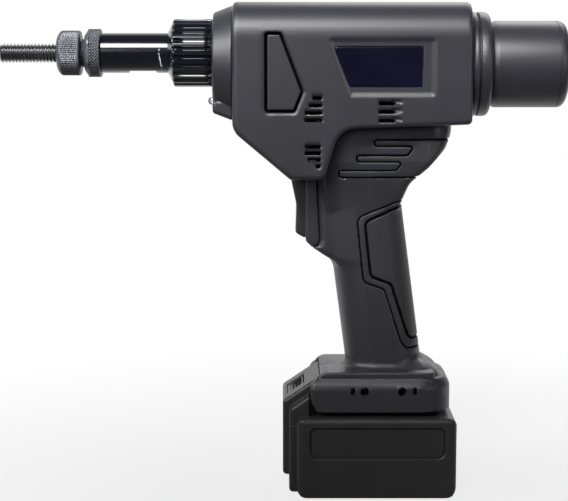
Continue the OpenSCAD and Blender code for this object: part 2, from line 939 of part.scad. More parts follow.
// Trim on the housing
module side_inlays() {
    color(shell_colour)
        difference() {
            intersection() {
                body_form(inlay_sink);
                across_y(far)
                    offset(delta = -inlay_gap)
                        inlay_side();
            }
            body_form(inlay_sink + inlay_t);
        }
}
module name_plates() {
    color(plate_colour)
        for (side = [-1, 1])
            side_cut(side * (body_w / 2 - plate_sink - plate_t / 2) - plate_t / 2,
                side * (body_w / 2 - plate_sink - plate_t / 2) + plate_t / 2)
                plate_side();
}
module palm_pad() {
    color(soft_colour)
        difference() {
            intersection() {
                web_form(0);
                across_y(far)
                    palm_side();
            }
            web_form(pad_t);
            body_form(0);
            grip_form(pad_t, 0);
        }
}
module grip_pad() {
    color(soft_colour)
        intersection() {
            pad_skin();
            across_y(far)
                pad_side();
        }
}
module grip_band() {
    color(soft_colour)
        intersection() {
            pad_skin();
            across_y(far)
                difference() {
                    band_side();
                    offset(delta = groove_w)
                        pad_side();
                }
        }
}
module chin_lens() {
    color(clear_colour)
        across_y(2 * lens_half)
            lens_side();
}

// Trigger group
module trigger_guide() {
    color(dark_colour)
        difference() {
            guide_solid();
            block(guide_front_x - 1, tongue_x + 1, -trigger_half - run_gap, trigger_half + run_gap,
                trigger_low - run_gap, chin_h + 1);
            trigger_room();
        }
}
module trigger() {
    color(dark_colour) {
        across_y(trigger_w)
            polygon(rounded_path([
                [body_front + 36, trigger_top, 1],
                [body_front + 39.6, trigger_top - 17, 24],
                [body_front + 39, trigger_low + 3, 2],
                [body_front + 44, trigger_low, 2],
                [trigger_rear, trigger_low, 0],
                [trigger_rear, trigger_top, 0]
            ]));
        block(trigger_rear - 2, trigger_rear, -trigger_half - 2, trigger_half + 2, trigger_low, trigger_top);
        rod(trigger_rear - 1, plunger_end, plunger_r, plunger_z);
    }
}
module trigger_spring() {
    color(steel_colour)
        translate([trigger_rear, 0, plunger_z])
            rotate([0, 90, 0])
                coil(plunger_r + 1.6, 0.35, 4, switch_front - trigger_rear);
}
module switch_module() {
    color(dark_colour)
        difference() {
            block(switch_front, switch_front + switch_len, -switch_half, switch_half, switch_low, switch_top);
            rod(switch_front - 1, plunger_end + trigger_travel + 2, plunger_r + run_gap, plunger_z);
        }
}

// Nose group
module anvil() {
    color(black_steel)
        difference() {
            union() {
                cone_rod(anvil_front, anvil_front + 3.5, anvil_bore_r + 3.2, anvil_d / 2, nose_z);
                rod(anvil_front + 3.5, anvil_rear - 1, anvil_d / 2, nose_z);
                cone_rod(anvil_rear - 1, anvil_rear, anvil_d / 2, anvil_d / 2 - 1, nose_z);
                rod(anvil_rear, spigot_end, neck_r, nose_z);
            }
            rod(anvil_front - 1, spigot_end + 1, anvil_bore_r, nose_z);
        }
}
module lock_nut() {
    color(black_steel)
        difference() {
            union() {
                intersection() {
                    union() {
                        cone_rod(lock_front, lock_front + 2.5, lock_nut_d / 2 - 3.5, lock_nut_d / 2, nose_z);
                        rod(lock_front + 2.5, lock_front + 4.5, lock_nut_d / 2, nose_z);
                    }
                    hex_rod(lock_front - 1, lock_front + 5.5, lock_nut_d - 2.5, nose_z);
                }
                rod(lock_front + 4.5, lock_rear - 0.6, lock_nut_d / 2, nose_z);
                cone_rod(lock_rear - 0.6, lock_rear, lock_nut_d / 2, lock_nut_d / 2 - 0.6, nose_z);
            }
            rod(lock_front - 1, lock_rear + 1, neck_r + run_gap, nose_z);
        }
}
module nose_sleeve() {
    color(dark_colour)
        difference() {
            union() {
                rod(sleeve_front, sleeve_flange_x, sleeve_r, nose_z);
                rod(sleeve_flange_x, sleeve_end, sleeve_flange_r, nose_z);
            }
            rod(sleeve_front - 1, sleeve_step, neck_r + run_gap, nose_z);
            rod(sleeve_step - eps, sleeve_end + 1, sleeve_bore_r, nose_z);
            block(sleeve_front + 16.7, sleeve_front + 31.7, -sleeve_r, sleeve_r,
                nose_z - sleeve_r - 1, nose_z - sleeve_r + sleeve_flat);
        }
}
module stroke_ring() {
    flute_r = PI * stroke_ring_d / flute_count / 4;
    color(dark_colour)
        difference() {
            union() {
                cone_rod(ring_front, ring_front + ring_cone, sleeve_r + 1, stroke_ring_d / 2, nose_z);
                rod(ring_front + ring_cone, ring_rear, stroke_ring_d / 2, nose_z);
            }
            rod(ring_front - 1, ring_rear + 1, sleeve_r + run_gap, nose_z);
            for (i = [0 : flute_count - 1])
                translate([0, 0, nose_z])
                    rotate([360 * i / flute_count, 0, 0])
                        translate([0, 0, -nose_z])
                            rod(ring_front + 2, ring_rear + 1, flute_r, nose_z + stroke_ring_d / 2 + flute_r * 0.3);
        }
}
module gear_case() {
    color(shell_colour)
        difference() {
            union() {
                cone_rod(collar_front, body_front, collar_nose_d / 2, collar_d / 2, collar_z);
                across_y(2 * lamp_seat_half)
                    polygon([
                        [collar_front, collar_z - collar_nose_d / 2],
                        [body_front, collar_z - collar_d / 2],
                        [body_front, led_z + 1],
                        [collar_front, led_z + 1]
                    ]);
                rod(body_front - eps, body_front + 12, gear_case_r, body_z);
            }
            rod(collar_front - 1, sleeve_flange_x + 1, sleeve_r + seat_gap, nose_z);
            rod(sleeve_flange_x, sleeve_end + eps, sleeve_flange_r + seat_gap, nose_z);
            rod(thrust_front, body_front + 13, thrust_r + seat_gap, nose_z);
            rod(collar_front - 1, led_back, led_r + seat_gap, led_z);
        }
}
led_r = 2.5;
lamp_seat_half = 23;
led_z = body_z - 23;
led_back = collar_front + 8;
module led_lamp() {
    color(clear_colour) {
        rod(collar_front - 1.2, led_back, led_r, led_z);
        translate([collar_front - 1.2, 0, led_z])
            sphere(r = led_r);
    }
}

// Pulling group
module mandrel() {
    color(black_steel) {
        cone_rod(mandrel_tip, mandrel_tip + 1.2, mandrel_r - 1.2, mandrel_r, nose_z);
        rod(mandrel_tip + 1.2, anvil_front - 0.4, mandrel_r, nose_z);
        rod(anvil_front - 0.4 - eps, flange_front + eps, mandrel_r - 0.2, nose_z);
        rod(flange_front, flange_rear, flange_r, nose_z);
        hex_rod(flange_rear - eps, hex_end, hex_af, nose_z);
    }
}
module draw_sleeve() {
    color(steel_colour)
        difference() {
            rod(draw_front, screw_front, draw_r, nose_z);
            rod(draw_front - 1, lip_rear + 1, anvil_bore_r, nose_z);
            rod(lip_rear, screw_front + 1, pocket_r, nose_z);
        }
}
module pull_screw() {
    color(steel_colour)
        difference() {
            union() {
                rod(screw_front, boss_rear, draw_r, nose_z);
                rod(boss_rear - eps, screw_end, screw_r, nose_z);
            }
            rod(screw_front - 1, boss_hollow, pocket_r, nose_z);
            rod(boss_hollow - 1, screw_end + 1, screw_bore_r, nose_z);
        }
}
module key_collar() {
    color(steel_colour)
        difference() {
            union() {
                rod(key_front, key_front + key_len, key_r, nose_z);
                block(key_front, key_front + key_len, -key_reach, key_reach, nose_z - key_w / 2, nose_z + key_w / 2);
            }
            rod(key_front - 1, key_front + key_len + 1, screw_r + seat_gap, nose_z);
        }
}
module guide_tube() {
    color(steel_colour)
        difference() {
            pipe(guide_front, guide_rear, guide_r, guide_bore_r, nose_z);
            block(key_front - 1, key_front + key_len + stroke + 1, -far, far,
                nose_z - key_w / 2 - run_gap, nose_z + key_w / 2 + run_gap);
        }
}
module spin_shaft() {
    color(steel_colour) {
        difference() {
            rod(socket_front, socket_rear, socket_r, nose_z);
            hex_rod(socket_front - 1, socket_floor, hex_af + 2 * run_gap, nose_z);
        }
        rod(socket_rear - eps, spin_front + spin_seat - 1, shaft_r, nose_z);
    }
}
module spin_motor() {
    color(steel_colour)
        difference() {
            union() {
                rod(spin_front, spin_rear, spin_r, nose_z);
                rod(spin_rear - eps, spin_rear + 4, spin_r / 2, nose_z);
            }
            rod(spin_front - 1, spin_front + spin_seat, shaft_r + bearing_gap, nose_z);
        }
}
module pull_nut() {
    color(steel_colour)
        difference() {
            union() {
                rod(nut_front, nut_rear, nut_r, nose_z);
                gear_disc(spur_front, spur_rear, nose_z, nut_teeth, spur_module, -90 + 180 / nut_teeth);
            }
            rod(nut_front - 1, nut_rear + 1, screw_r + run_gap, nose_z);
        }
}
module thrust_bearing() {
    color(steel_colour) {
        pipe(thrust_front, thrust_front + 1.5, thrust_r, screw_r + 4, nose_z);
        pipe(thrust_front + thrust_len - 1.5, thrust_front + thrust_len, thrust_r, screw_r + 4, nose_z);
        pipe(thrust_front + 1.5, thrust_front + thrust_len - 1.5, thrust_r - 1.5, screw_r + 5, nose_z);
    }
}
module nut_bearing() {
    color(steel_colour)
        pipe(mid_front, mid_rear, nut_bearing_r, nut_r + bearing_gap, nose_z);
}
module mid_plate() {
    color(steel_colour)
        difference() {
            union() {
                rod(mid_front, mid_rear, nut_bearing_r + 6, nose_z);
                rod(mid_front, mid_rear, ring_r - 3, motor_z);
                block(mid_front, mid_rear, 3 - ring_r, ring_r - 3, motor_z, nose_z);
                rod(spur_front + 0.5, mid_front + eps, idler_pin_r, idler_z);
            }
            rod(mid_front - 1, mid_rear + 1, nut_bearing_r + seat_gap, nose_z);
            rod(mid_front - 1, mid_rear + 1, pinion_shaft_r + bearing_gap, motor_z);
        }
}
idler_pin_r = 3;
module idler_gear() {
    color(steel_colour)
        difference() {
            gear_disc(spur_front, spur_rear, idler_z, idler_teeth, spur_module, -90 + 180 / idler_teeth);
            rod(spur_front - 1, spur_rear + 1, idler_pin_r + bearing_gap, idler_z);
        }
}
module planet_carrier() {
    color(steel_colour) {
        gear_disc(spur_front, spur_rear, motor_z, pinion_teeth, spur_module, 90);
        rod(spur_rear - eps, carrier_front + eps, pinion_shaft_r, motor_z);
        rod(carrier_front, carrier_front + carrier_len, planet_orbit + 3.5, motor_z);
        for (i = [0 : 2])
            rod(carrier_front + carrier_len - eps, planet_rear, 2,
                motor_z + planet_orbit * sin(120 * i), planet_orbit * cos(120 * i));
    }
}
module planet(i) {
    color(steel_colour)
        translate([0, planet_orbit * cos(120 * i), planet_orbit * sin(120 * i)])
            difference() {
                gear_disc(planet_front, planet_rear, motor_z, planet_teeth, planet_module, 180 / planet_teeth);
                rod(planet_front - 1, planet_rear + 1, 2 + bearing_gap, motor_z);
            }
}
module planet_a() {
    planet(0);
}
module planet_b() {
    planet(1);
}
module planet_c() {
    planet(2);
}
module ring_gear() {
    color(steel_colour)
        translate([0, 0, motor_z])
            along_x(mid_rear, planetary_rear)
                difference() {
                    circle(r = ring_r);
                    rotate(180 / annulus_teeth)
                        polygon(gear_points(annulus_teeth, planet_module, gear_dedendum, gear_addendum,
                            -gear_thin * planet_module));
                }
}
module motor_plate() {
    color(steel_colour)
        pipe(planetary_rear, motor_plate_rear, ring_r, bearing_r + seat_gap, motor_z);
}
module motor_bearings() {
    color(steel_colour) {
        pipe(planetary_rear, motor_plate_rear, bearing_r, rotor_shaft_r + bearing_gap, motor_z);
        pipe(rear_bearing_x, rear_bearing_x + bearing_len, bearing_r, rotor_shaft_r + bearing_gap, motor_z);
    }
}
module motor_rotor() {
    color(steel_colour) {
        gear_disc(planet_front, planet_rear, motor_z, sun_teeth, planet_module, 0);
        rod(planet_rear - eps, rear_bearing_x + bearing_len, rotor_shaft_r, motor_z);
        rod(stator_front + 1, stator_rear - 1, rotor_r, motor_z);
    }
}
fan_r = web_w / 2 - wall - 1.5;
module motor_fan() {
    color(dark_colour)
        difference() {
            union() {
                rod(fan_front, fan_rear, rotor_shaft_r + 3, motor_z);
                rod(fan_rear - 1.5, fan_rear, fan_r, motor_z);
                for (i = [0 : 8])
                    translate([0, 0, motor_z])
                        rotate([40 * i, 0, 0])
                            block(fan_front, fan_rear - 1, -0.6, 0.6, rotor_shaft_r + 2, fan_r - 0.5);
            }
            rod(fan_front - 1, fan_rear + 1, rotor_shaft_r + seat_gap, motor_z);
        }
}
tooth_w = stator_r * 0.3;
module stator_2d() {
    difference() {
        circle(r = stator_r);
        circle(r = stator_r * 0.86);
    }
    difference() {
        for (i = [0 : 5])
            rotate(60 * i)
                translate([0, -tooth_w / 2])
                    square([stator_r * 0.9, tooth_w]);
        circle(r = rotor_r + 0.5);
    }
}
module stator_core() {
    color(black_steel)
        translate([0, 0, motor_z])
            along_x(stator_front, stator_rear)
                stator_2d();
}
module stator_coils() {
    color(copper_colour)
        translate([0, 0, motor_z])
            along_x(stator_front - 1, stator_rear + 1.3)
                difference() {
                    circle(r = stator_r * 0.86 - 0.1);
                    circle(r = rotor_r + 0.8);
                    for (i = [0 : 5])
                        rotate(60 * i)
                            translate([0, -tooth_w / 2 - 0.1])
                                square([stator_r, tooth_w + 0.2]);
                }
}

// Tail group
module rear_collar() {
    color(shell_colour)
        difference() {
            union() {
                rod(plug_front, body_rear + eps, plug_r, body_z);
                rod(body_rear, rear_collar_end - 3, rear_collar_d / 2, body_z);
                cone_rod(rear_collar_end - 3, rear_collar_end, rear_collar_d / 2, rear_collar_d / 2 - 3, body_z);
            }
            rod(spin_front, rear_collar_end + 1, spin_r + seat_gap, nose_z);
            rod(plug_front - 1, spin_front + 1, shaft_r + 3, nose_z);
        }
}
module tail_cap() {
    color(shell_colour)
        translate([0, 0, body_z])
            rotate([0, 90, 0])
                rotate_extrude()
                    difference() {
                        polygon(rounded_path([
                            [0, rear_collar_end, 0],
                            [tail_r, rear_collar_end, 0],
                            [tail_r, tail_end, 6],
                            [0, tail_end, 0]
                        ]));
                        translate([-1, rear_collar_end - 1])
                            square([tail_r - wall + 1, tail_len - wall + 1]);
                    }
}

// Electrics in the foot and handle
module control_board() {
    color(board_colour)
        difference() {
            block(foot_front_x + 23, foot_rear_x - 16, 11 - foot_half, foot_half - 11, board_z, board_z + board_t);
            for (s = body_screws)
                translate([s[0], 0, s[1]])
                    rotate([90, 0, 0])
                        cylinder(h = far, r = boss_r + 1, center = true);
        }
}
module terminal_block() {
    color(dark_colour)
        block(block_front, block_rear, -block_half, block_half, channel_top + 0.2, board_z);
}
module terminal_blades() {
    color(copper_colour)
        for (side = [-1, 1])
            block(block_front + 2, block_rear - 4, side * blade_y - blade_t / 2, side * blade_y + blade_t / 2,
                head_low + 2, channel_top + 0.2);
}
module power_leads() {
    lead_r = 1.3;
    lead_low = board_z + board_t;
    color(copper_colour)
        intersection() {
            translate([grip_foot_x, 0, grip_foot_z])
                rotate([0, -grip_lean, 0])
                    for (side = [-1, 1])
                        translate([grip_depth * 0.19, side * grip_w * 0.13, -grip_len])
                            cylinder(h = 3 * grip_len, r = lead_r);
            block(-far, far, -far, far, lead_low, switch_low);
        }
}

// Screws
module shell_screw(head_side) {
    rotate([head_side * 90, 0, 0]) {
        translate([0, 0, -screw_reach])
            cylinder(h = screw_reach + screw_head_y + eps, r = screw_shank_r);
        difference() {
            translate([0, 0, screw_head_y])
                cylinder(h = screw_head_h, r = screw_head_r);
            translate([0, 0, screw_head_y + 0.9])
                cylinder(h = screw_head_h, r = 1.4, $fn = 6);
        }
    }
}
module housing_screws() {
    color(steel_colour)
        for (s = body_screws)
            translate([s[0], 0, s[1]])
                shell_screw(-1);
}
module foot_screws() {
    color(steel_colour)
        for (s = foot_screw_places)
            translate([s[0], 0, s[1]])
                shell_screw(1);
}

// Battery
module pack_section(inset) {
    polygon(rounded_path([
        [-pack_half + inset, pack_h - inset, 4],
        [pack_half - inset, pack_h - inset, 4],
        [pack_half - inset, inset, 4 - inset / 2],
        [-pack_half + inset, inset, 4 - inset / 2]
    ]));
}
module pack_side(inset) {
    polygon(rounded_path([
        [pack_front + inset, pack_h - inset, pack_top_r - inset],
        [pack_rear - inset, pack_h - inset, pack_top_r - inset],
        [pack_rear - inset, inset, pack_corner_r - inset],
        [pack_front + inset, inset, pack_corner_r - inset]
    ]));
}
module pack_block(inset) {
    intersection() {
        across_y(pack_w)
            pack_side(inset);
        along_x(pack_front - 1, pack_rear + 1)
            pack_section(inset);
    }
}
function slope_z(x) = slope_low[1] + (x - slope_low[0]) * slope_run;
module hump_side(step, drop) {
    polygon([
        [pack_front - step, pack_split - 5],
        [pack_front - step, slope_z(pack_front - step) - drop],
        [hump_rear, slope_z(hump_rear) - drop],
        [hump_rear, pack_split - 5]
    ]);
}
module pack_steps() {
    block(pack_front - step_mid, pack_front + 3, -step_mid_half, step_mid_half, step_mid_z, pack_h);
    block(pack_front - step_front, pack_front + 3, -step_front_half, step_front_half, step_front_z, pack_h);
}
module pack_form() {
    pack_block(0);
    pack_steps();
}
module pack_hollow() {
    intersection() {
        pack_block(pack_wall);
        block(-far, far, -far, far, 0, pack_h - pack_wall);
    }
}
module label_recess(sink) {
    for (side = [-1, 1])
        translate([label_front, side * (pack_half - sink / 2) - sink / 2, label_low])
            cube([label_rear - label_front, sink, label_high - label_low]);
}
module battery_tub() {
    color(dark_colour)
        difference() {
            intersection() {
                pack_form();
                block(-far, far, -far, far, -far, pack_split);
            }
            pack_hollow();
            label_recess(label_sink);
            button_well();
        }
}
module button_well() {
    block(button_front - run_gap, button_rear + run_gap, -button_half - run_gap, button_half + run_gap,
        button_floor, far);
}
module head_form() {
    block(hump_rear - 1, head_rear, -head_neck_half, head_neck_half, pack_h - 1, head_low + 1);
    block(hump_rear - 1, head_rear, -head_half, head_half, head_low, head_top);
}
module hump_form() {
    across_y(2 * step_mid_half)
        hump_side(step_mid, hump_drop);
    across_y(2 * step_front_half)
        hump_side(step_front, 0);
}
module battery_cover() {
    color(dark_colour)
        difference() {
            intersection() {
                union() {
                    pack_form();
                    hump_form();
                    head_form();
                }
                block(-far, far, -far, far, pack_split, far);
            }
            pack_hollow();
            for (side = [-1, 1])
                block(block_front - 1, head_rear + 1, side * blade_y - slot_half, side * blade_y + slot_half,
                    pack_h - pack_wall - 1, head_top + 1);
            button_well();
        }
}
module cell_frame() {
    frame_half = cell_pitch * cell_count / 2 - 2.5;
    color(shell_colour)
        difference() {
            union() {
                block(-frame_half, frame_half, -cell_len / 8, cell_len / 8, pack_wall + 4.2, pack_board_z);
                block(6 - frame_half, frame_half - 6, -cell_len / 8, cell_len / 8, pack_wall, pack_wall + 4.3);
            }
            cell_set(cell_slack);
        }
}
module cell_set(slack) {
    for (i = [0 : cell_count - 1])
        translate([(i - (cell_count - 1) / 2) * cell_pitch, 0, cell_z])
            rotate([90, 0, 0])
                cylinder(h = cell_len, r = cell_d / 2 + slack, center = true);
}
module battery_cells() {
    color(cell_colour)
        cell_set(0);
}
module pack_board() {
    color(board_colour)
        block(pack_front + 10.5, pack_rear - 10.5, 12 - pack_half, pack_half - 12,
            pack_board_z, pack_board_z + pack_board_t);
}
module pack_contacts() {
    color(copper_colour)
        for (side = [-1, 1]) {
            for (leaf = [-1, 1])
                translate([block_front + 3, side * blade_y + leaf * (blade_t / 2 + run_gap + 0.3) - 0.3, contact_z])
                    cube([contact_len, 0.6, head_top - 1.2 - contact_z]);
            block(block_front + 3, block_front + 3 + contact_len, side * blade_y - blade_t / 2 - run_gap - 0.6,
                side * blade_y + blade_t / 2 + run_gap + 0.6, contact_z, contact_z + 0.8);
        }
}
module pack_labels() {
    color(plate_colour)
        for (side = [-1, 1])
            translate([label_front, side * (pack_half - label_sink + label_t / 2) - label_t / 2, label_low])
                cube([label_rear - label_front, label_t, label_high - label_low]);
}
module release_button() {
    color(dark_colour)
        difference() {
            intersection() {
                across_y(2 * button_half)
                    polygon([
                        [button_front, button_low],
                        [button_front, slope_z(button_front) - 0.6],
                        [button_rear, slope_z(button_rear) - 0.6],
                        [button_rear, button_low]
                    ]);
                block(button_front, button_rear, -button_half, button_half, 0, far);
            }
            translate([(button_front + button_rear) / 2, 0, button_low - 1])
                cylinder(h = 9, r = 4);
        }
}
module latch_spring() {
    color(steel_colour)
        translate([(button_front + button_rear) / 2, 0, button_floor])
            coil(3, 0.4, 5, button_low + 8 - button_floor);
}

body_left();
body_right();
handle_left();
handle_right();
gear_case();
nose_sleeve();
led_lamp();
chin_lens();
side_inlays();
name_plates();
palm_pad();
grip_pad();
grip_band();
trigger_guide();
trigger();
trigger_spring();
switch_module();
anvil();
lock_nut();
stroke_ring();
mandrel();
draw_sleeve();
pull_screw();
key_collar();
pull_nut();
thrust_bearing();
nut_bearing();
mid_plate();
idler_gear();
planet_carrier();
planet_a();
planet_b();
planet_c();
ring_gear();
motor_plate();
motor_bearings();
motor_rotor();
motor_fan();
stator_core();
stator_coils();
guide_tube();
spin_shaft();
spin_motor();
rear_collar();
tail_cap();
control_board();
terminal_block();
terminal_blades();
power_leads();
housing_screws();
foot_screws();
battery_tub();
battery_cover();
cell_frame();
battery_cells();
pack_board();
pack_contacts();
pack_labels();
release_button();
latch_spring();
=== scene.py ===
import functools
import json
import math

import bpy
import numpy as np
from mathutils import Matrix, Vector


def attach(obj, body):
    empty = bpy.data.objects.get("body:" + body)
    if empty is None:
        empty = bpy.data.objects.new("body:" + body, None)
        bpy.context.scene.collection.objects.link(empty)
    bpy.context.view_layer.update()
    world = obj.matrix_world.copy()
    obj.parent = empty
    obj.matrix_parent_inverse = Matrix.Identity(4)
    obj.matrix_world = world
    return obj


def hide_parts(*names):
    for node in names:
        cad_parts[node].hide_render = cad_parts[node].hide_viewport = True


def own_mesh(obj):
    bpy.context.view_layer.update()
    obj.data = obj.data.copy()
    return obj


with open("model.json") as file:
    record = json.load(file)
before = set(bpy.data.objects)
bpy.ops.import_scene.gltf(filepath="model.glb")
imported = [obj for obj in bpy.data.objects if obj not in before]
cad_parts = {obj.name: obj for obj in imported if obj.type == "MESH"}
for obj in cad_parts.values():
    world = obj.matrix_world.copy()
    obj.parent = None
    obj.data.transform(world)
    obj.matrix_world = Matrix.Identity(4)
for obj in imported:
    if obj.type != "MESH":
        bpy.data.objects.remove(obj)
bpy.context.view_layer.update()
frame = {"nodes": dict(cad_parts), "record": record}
MM = 0.001
COARSE = 1.0

# Places shared with the solids, in millimetres
NOSE_Z, BODY_Z, COLLAR_Z = 279.0, 272.0, 273.2
BODY_HALF, WALL = 36, 3.0
GRIP_X, GRIP_Z, GRIP_LEAN = 4.7, 90.0, math.radians(7.6)
GRIP_R, GRIP_FLAT = 19, 5
BODY_SCREWS = [(-35, 301), (45, 301), (45, 242), (-40, 206.4), (21.5, 209.7), (-0.3, 130)]
FOOT_SCREWS = [(-7.55, 68.5), (16.05, 68.5)]


# Fields: negative inside a solid, in millimetres
def meet(*fields):
    """Intersection."""
    return functools.reduce(np.maximum, fields)


def join(*fields):
    """Union."""
    return functools.reduce(np.minimum, fields)


def carve(field, cuts):
    """What is left of a field after its cuts."""
    return np.maximum(field, -join(*cuts))


def rmax(a, b, r):
    """Intersection with its edge rounded to radius r."""
    edge = np.hypot(np.maximum(a + r, 0), np.maximum(b + r, 0))
    return np.minimum(np.maximum(a, b), -r) + edge


def rmin(a, b, r):
    """Union with its inner corner filled to radius r."""
    corner = np.hypot(np.maximum(r - a, 0), np.maximum(r - b, 0))
    return np.maximum(np.minimum(a, b), r) - corner


def slab(t, low, high):
    """Layer between two planes."""
    return np.maximum(low - t, t - high)


def box2(x, z, x0, x1, z0, z1, r):
    """Rectangle with corners of radius r."""
    qx = np.abs(x - (x0 + x1) / 2) - (x1 - x0) / 2 + r
    qz = np.abs(z - (z0 + z1) / 2) - (z1 - z0) / 2 + r
    return np.hypot(np.maximum(qx, 0), np.maximum(qz, 0)) + np.minimum(np.maximum(qx, qz), 0) - r


def path(corners, steps=8):
    """Outline through corners (x, z, radius), each rounded to its radius."""
    out = []
    for i, (x, z, r) in enumerate(corners):
        p = np.array([x, z], float)
        if not r:
            out.append(p)
            continue
        u = np.array(corners[i - 1][:2], float) - p
        v = np.array(corners[(i + 1) % len(corners)][:2], float) - p
        u, v = u / np.linalg.norm(u), v / np.linalg.norm(v)
        half = math.acos(max(-1, min(1, u @ v))) / 2
        c = p + (u + v) / np.linalg.norm(u + v) * r / math.sin(half)
        s, e = p + u * r / math.tan(half) - c, p + v * r / math.tan(half) - c
        turn = math.atan2(s[0] * e[1] - s[1] * e[0], s @ e)
        first = math.atan2(s[1], s[0])
        for k in range(steps + 1):
            a = first + turn * k / steps
            out.append(c + r * np.array([math.cos(a), math.sin(a)]))
    return np.array(out)


def poly(outline, x, z):
    """Signed distance to a closed outline."""
    far, tiny = 1e9, 1e-12
    shape = np.broadcast(x, z).shape
    best, inside = np.full(shape, far), np.zeros(shape, bool)
    for (ax, az), (bx, bz) in zip(outline, np.roll(outline, -1, 0)):
        ex, ez = bx - ax, bz - az
        if ex * ex + ez * ez < tiny:
            continue
        wx, wz = x - ax, z - az
        t = np.clip((wx * ex + wz * ez) / (ex * ex + ez * ez), 0, 1)
        best = np.minimum(best, (wx - ex * t) ** 2 + (wz - ez * t) ** 2)
        if abs(ez) > tiny:
            inside ^= ((az <= z) != (bz <= z)) & (x < ex * (z - az) / ez + ax)
    best = np.sqrt(best)
    return np.where(inside, -best, best)


# Meshes
SHARP = 42  # degrees between two faces from which their edge stays sharp


def nets(f, low, step):
    """Closed surface of f < 0 on a grid: one vertex for each cell that the surface crosses."""
    inside = f < 0
    n = np.array(f.shape)
    count = sum(inside[i:n[0] - 1 + i, j:n[1] - 1 + j, k:n[2] - 1 + k].astype(np.int8)
                for i in (0, 1) for j in (0, 1) for k in (0, 1))
    active = (count > 0) & (count < 8)
    cells = np.argwhere(active)
    index = np.full(active.shape, -1, np.int64)
    index[active] = np.arange(len(cells))
    total, hits = np.zeros((len(cells), 3)), np.zeros(len(cells))
    unit = np.eye(3, dtype=int)
    for a in range(3):
        b, c = (a + 1) % 3, (a + 2) % 3
        for i in (0, 1):
            for j in (0, 1):
                start = unit[b] * i + unit[c] * j
                f0 = f[tuple((cells + start).T)]
                f1 = f[tuple((cells + start + unit[a]).T)]
                cross = (f0 < 0) != (f1 < 0)
                t = f0[cross] / (f0[cross] - f1[cross])
                total[cross] += start + t[:, None] * unit[a]
                hits[cross] += 1
    points = (cells + total / hits[:, None]) * step + np.array(low)
    faces = []
    for a in range(3):
        b, c = (a + 1) % 3, (a + 2) % 3
        first = [slice(None)] * 3
        second = [slice(None)] * 3
        first[a], second[a] = slice(0, -1), slice(1, None)
        edges = np.argwhere(inside[tuple(first)] != inside[tuple(second)])
        good = ((edges[:, b] > 0) & (edges[:, b] < n[b] - 1)
                & (edges[:, c] > 0) & (edges[:, c] < n[c] - 1))
        edges = edges[good]
        quad = np.stack([index[tuple((edges - unit[b] * i - unit[c] * j).T)]
                         for i, j in ((0, 0), (1, 0), (1, 1), (0, 1))], 1)
        out = inside[tuple(edges.T)]
        faces.append(np.where(out[:, None], quad, quad[:, ::-1]))
    return points, np.concatenate(faces)


def make(name, points, faces, mat, body, nodes, keep=1.0, sharp=SHARP, gap=None):
    """Piece from a mesh, thinned to the share keep of its faces. gap says which of the faces
    lie down in a gap, by their centres; those faces take painted shade, a near-black material."""
    mesh = bpy.data.meshes.new(name)
    mesh.from_pydata((np.asarray(points) * MM).tolist(), [], [list(f) for f in faces])
    obj = bpy.data.objects.new(name, mesh)
    bpy.context.scene.collection.objects.link(obj)
    if keep < 1:
        obj.modifiers.new("thin", "DECIMATE").ratio = keep
        graph = bpy.context.evaluated_depsgraph_get()
        thin = bpy.data.meshes.new_from_object(obj.evaluated_get(graph))
        obj.modifiers.clear()
        obj.data = thin
        bpy.data.meshes.remove(mesh)
        thin.name = name
    obj.data.shade_smooth()
    obj.data.set_sharp_from_angle(angle=math.radians(sharp))
    obj.data.materials.clear()
    obj.data.materials.append(mat)
    # faces down in a gap get the near-black gap material: painted shade, not the plastic's own
    # colour
    if gap is not None:
        obj.data.materials.append(M["gap"])
        polygons = obj.data.polygons
        centres = np.empty(3 * len(polygons), np.float32)
        polygons.foreach_get("center", centres)
        deep = gap(*(centres.reshape(-1, 3) / MM).T)
        polygons.foreach_set("material_index", deep.astype(np.int32))
    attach(obj, body)
    if nodes:
        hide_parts(*nodes)
    return obj


def solid(name, field, low, high, step, mat, nodes, body="frame", keep=0.35, twin=False,
          gap=None):
    """Mesh of a field inside a box, with its mirror image across Y where twin is set."""
    h = step * COARSE
    count = [int(math.ceil((b - a) / h)) + 1 for a, b in zip(low, high)]
    x, y, z = (a + h * np.arange(m) for a, m in zip(low, count))
    f = field(x[:, None, None], y[None, :, None], z[None, None, :])
    points, faces = nets(np.ascontiguousarray(np.broadcast_to(f, count)), low, h)
    if twin:
        faces = np.concatenate([faces, faces[:, ::-1] + len(points)])
        points = np.concatenate([points, points * [1, -1, 1]])
    return make(name, points, faces, mat, body, nodes, keep, gap=gap)


def lathe(name, rows, sides, axis_z, mat, nodes, body="frame", shape=None, sharp=SHARP):
    """Closed ring of rows (x, r) turned about an axis along X; shape changes r by x and angle."""
    x = np.array([r[0] for r in rows], float)[:, None]
    r = np.array([r[1] for r in rows], float)[:, None]
    angle = (np.arange(sides) / sides * 2 * math.pi)[None, :]
    radius = r + 0 * angle if shape is None else shape(x, r, angle)
    points = np.stack([x + 0 * angle, -radius * np.cos(angle), axis_z + radius * np.sin(angle)], -1)
    points = points.reshape(-1, 3)
    m = len(rows)
    i, j = np.meshgrid(np.arange(m), np.arange(sides), indexing="ij")
    i2, j2 = (i + 1) % m, (j + 1) % sides
    faces = np.stack([i * sides + j, i2 * sides + j, i2 * sides + j2, i * sides + j2], -1)
    faces = faces.reshape(-1, 4)
    a, b, c = (points[faces[:, k]] for k in range(3))
    if np.einsum("ij,ij->", a, np.cross(b, c)) < 0:
        faces = faces[:, ::-1]
    return make(name, points, faces, mat, body, nodes, sharp=sharp)


# Materials
TONE_PATCH = 22.0  # size of the patches of uneven tone, in mm
TONE_RAMP = (0.3, 0.7)
ROUGH_LOW, ROUGH_HIGH = 0.86, 1.14
COAT_ROUGH, BUMP_STRENGTH = 0.08, 0.6


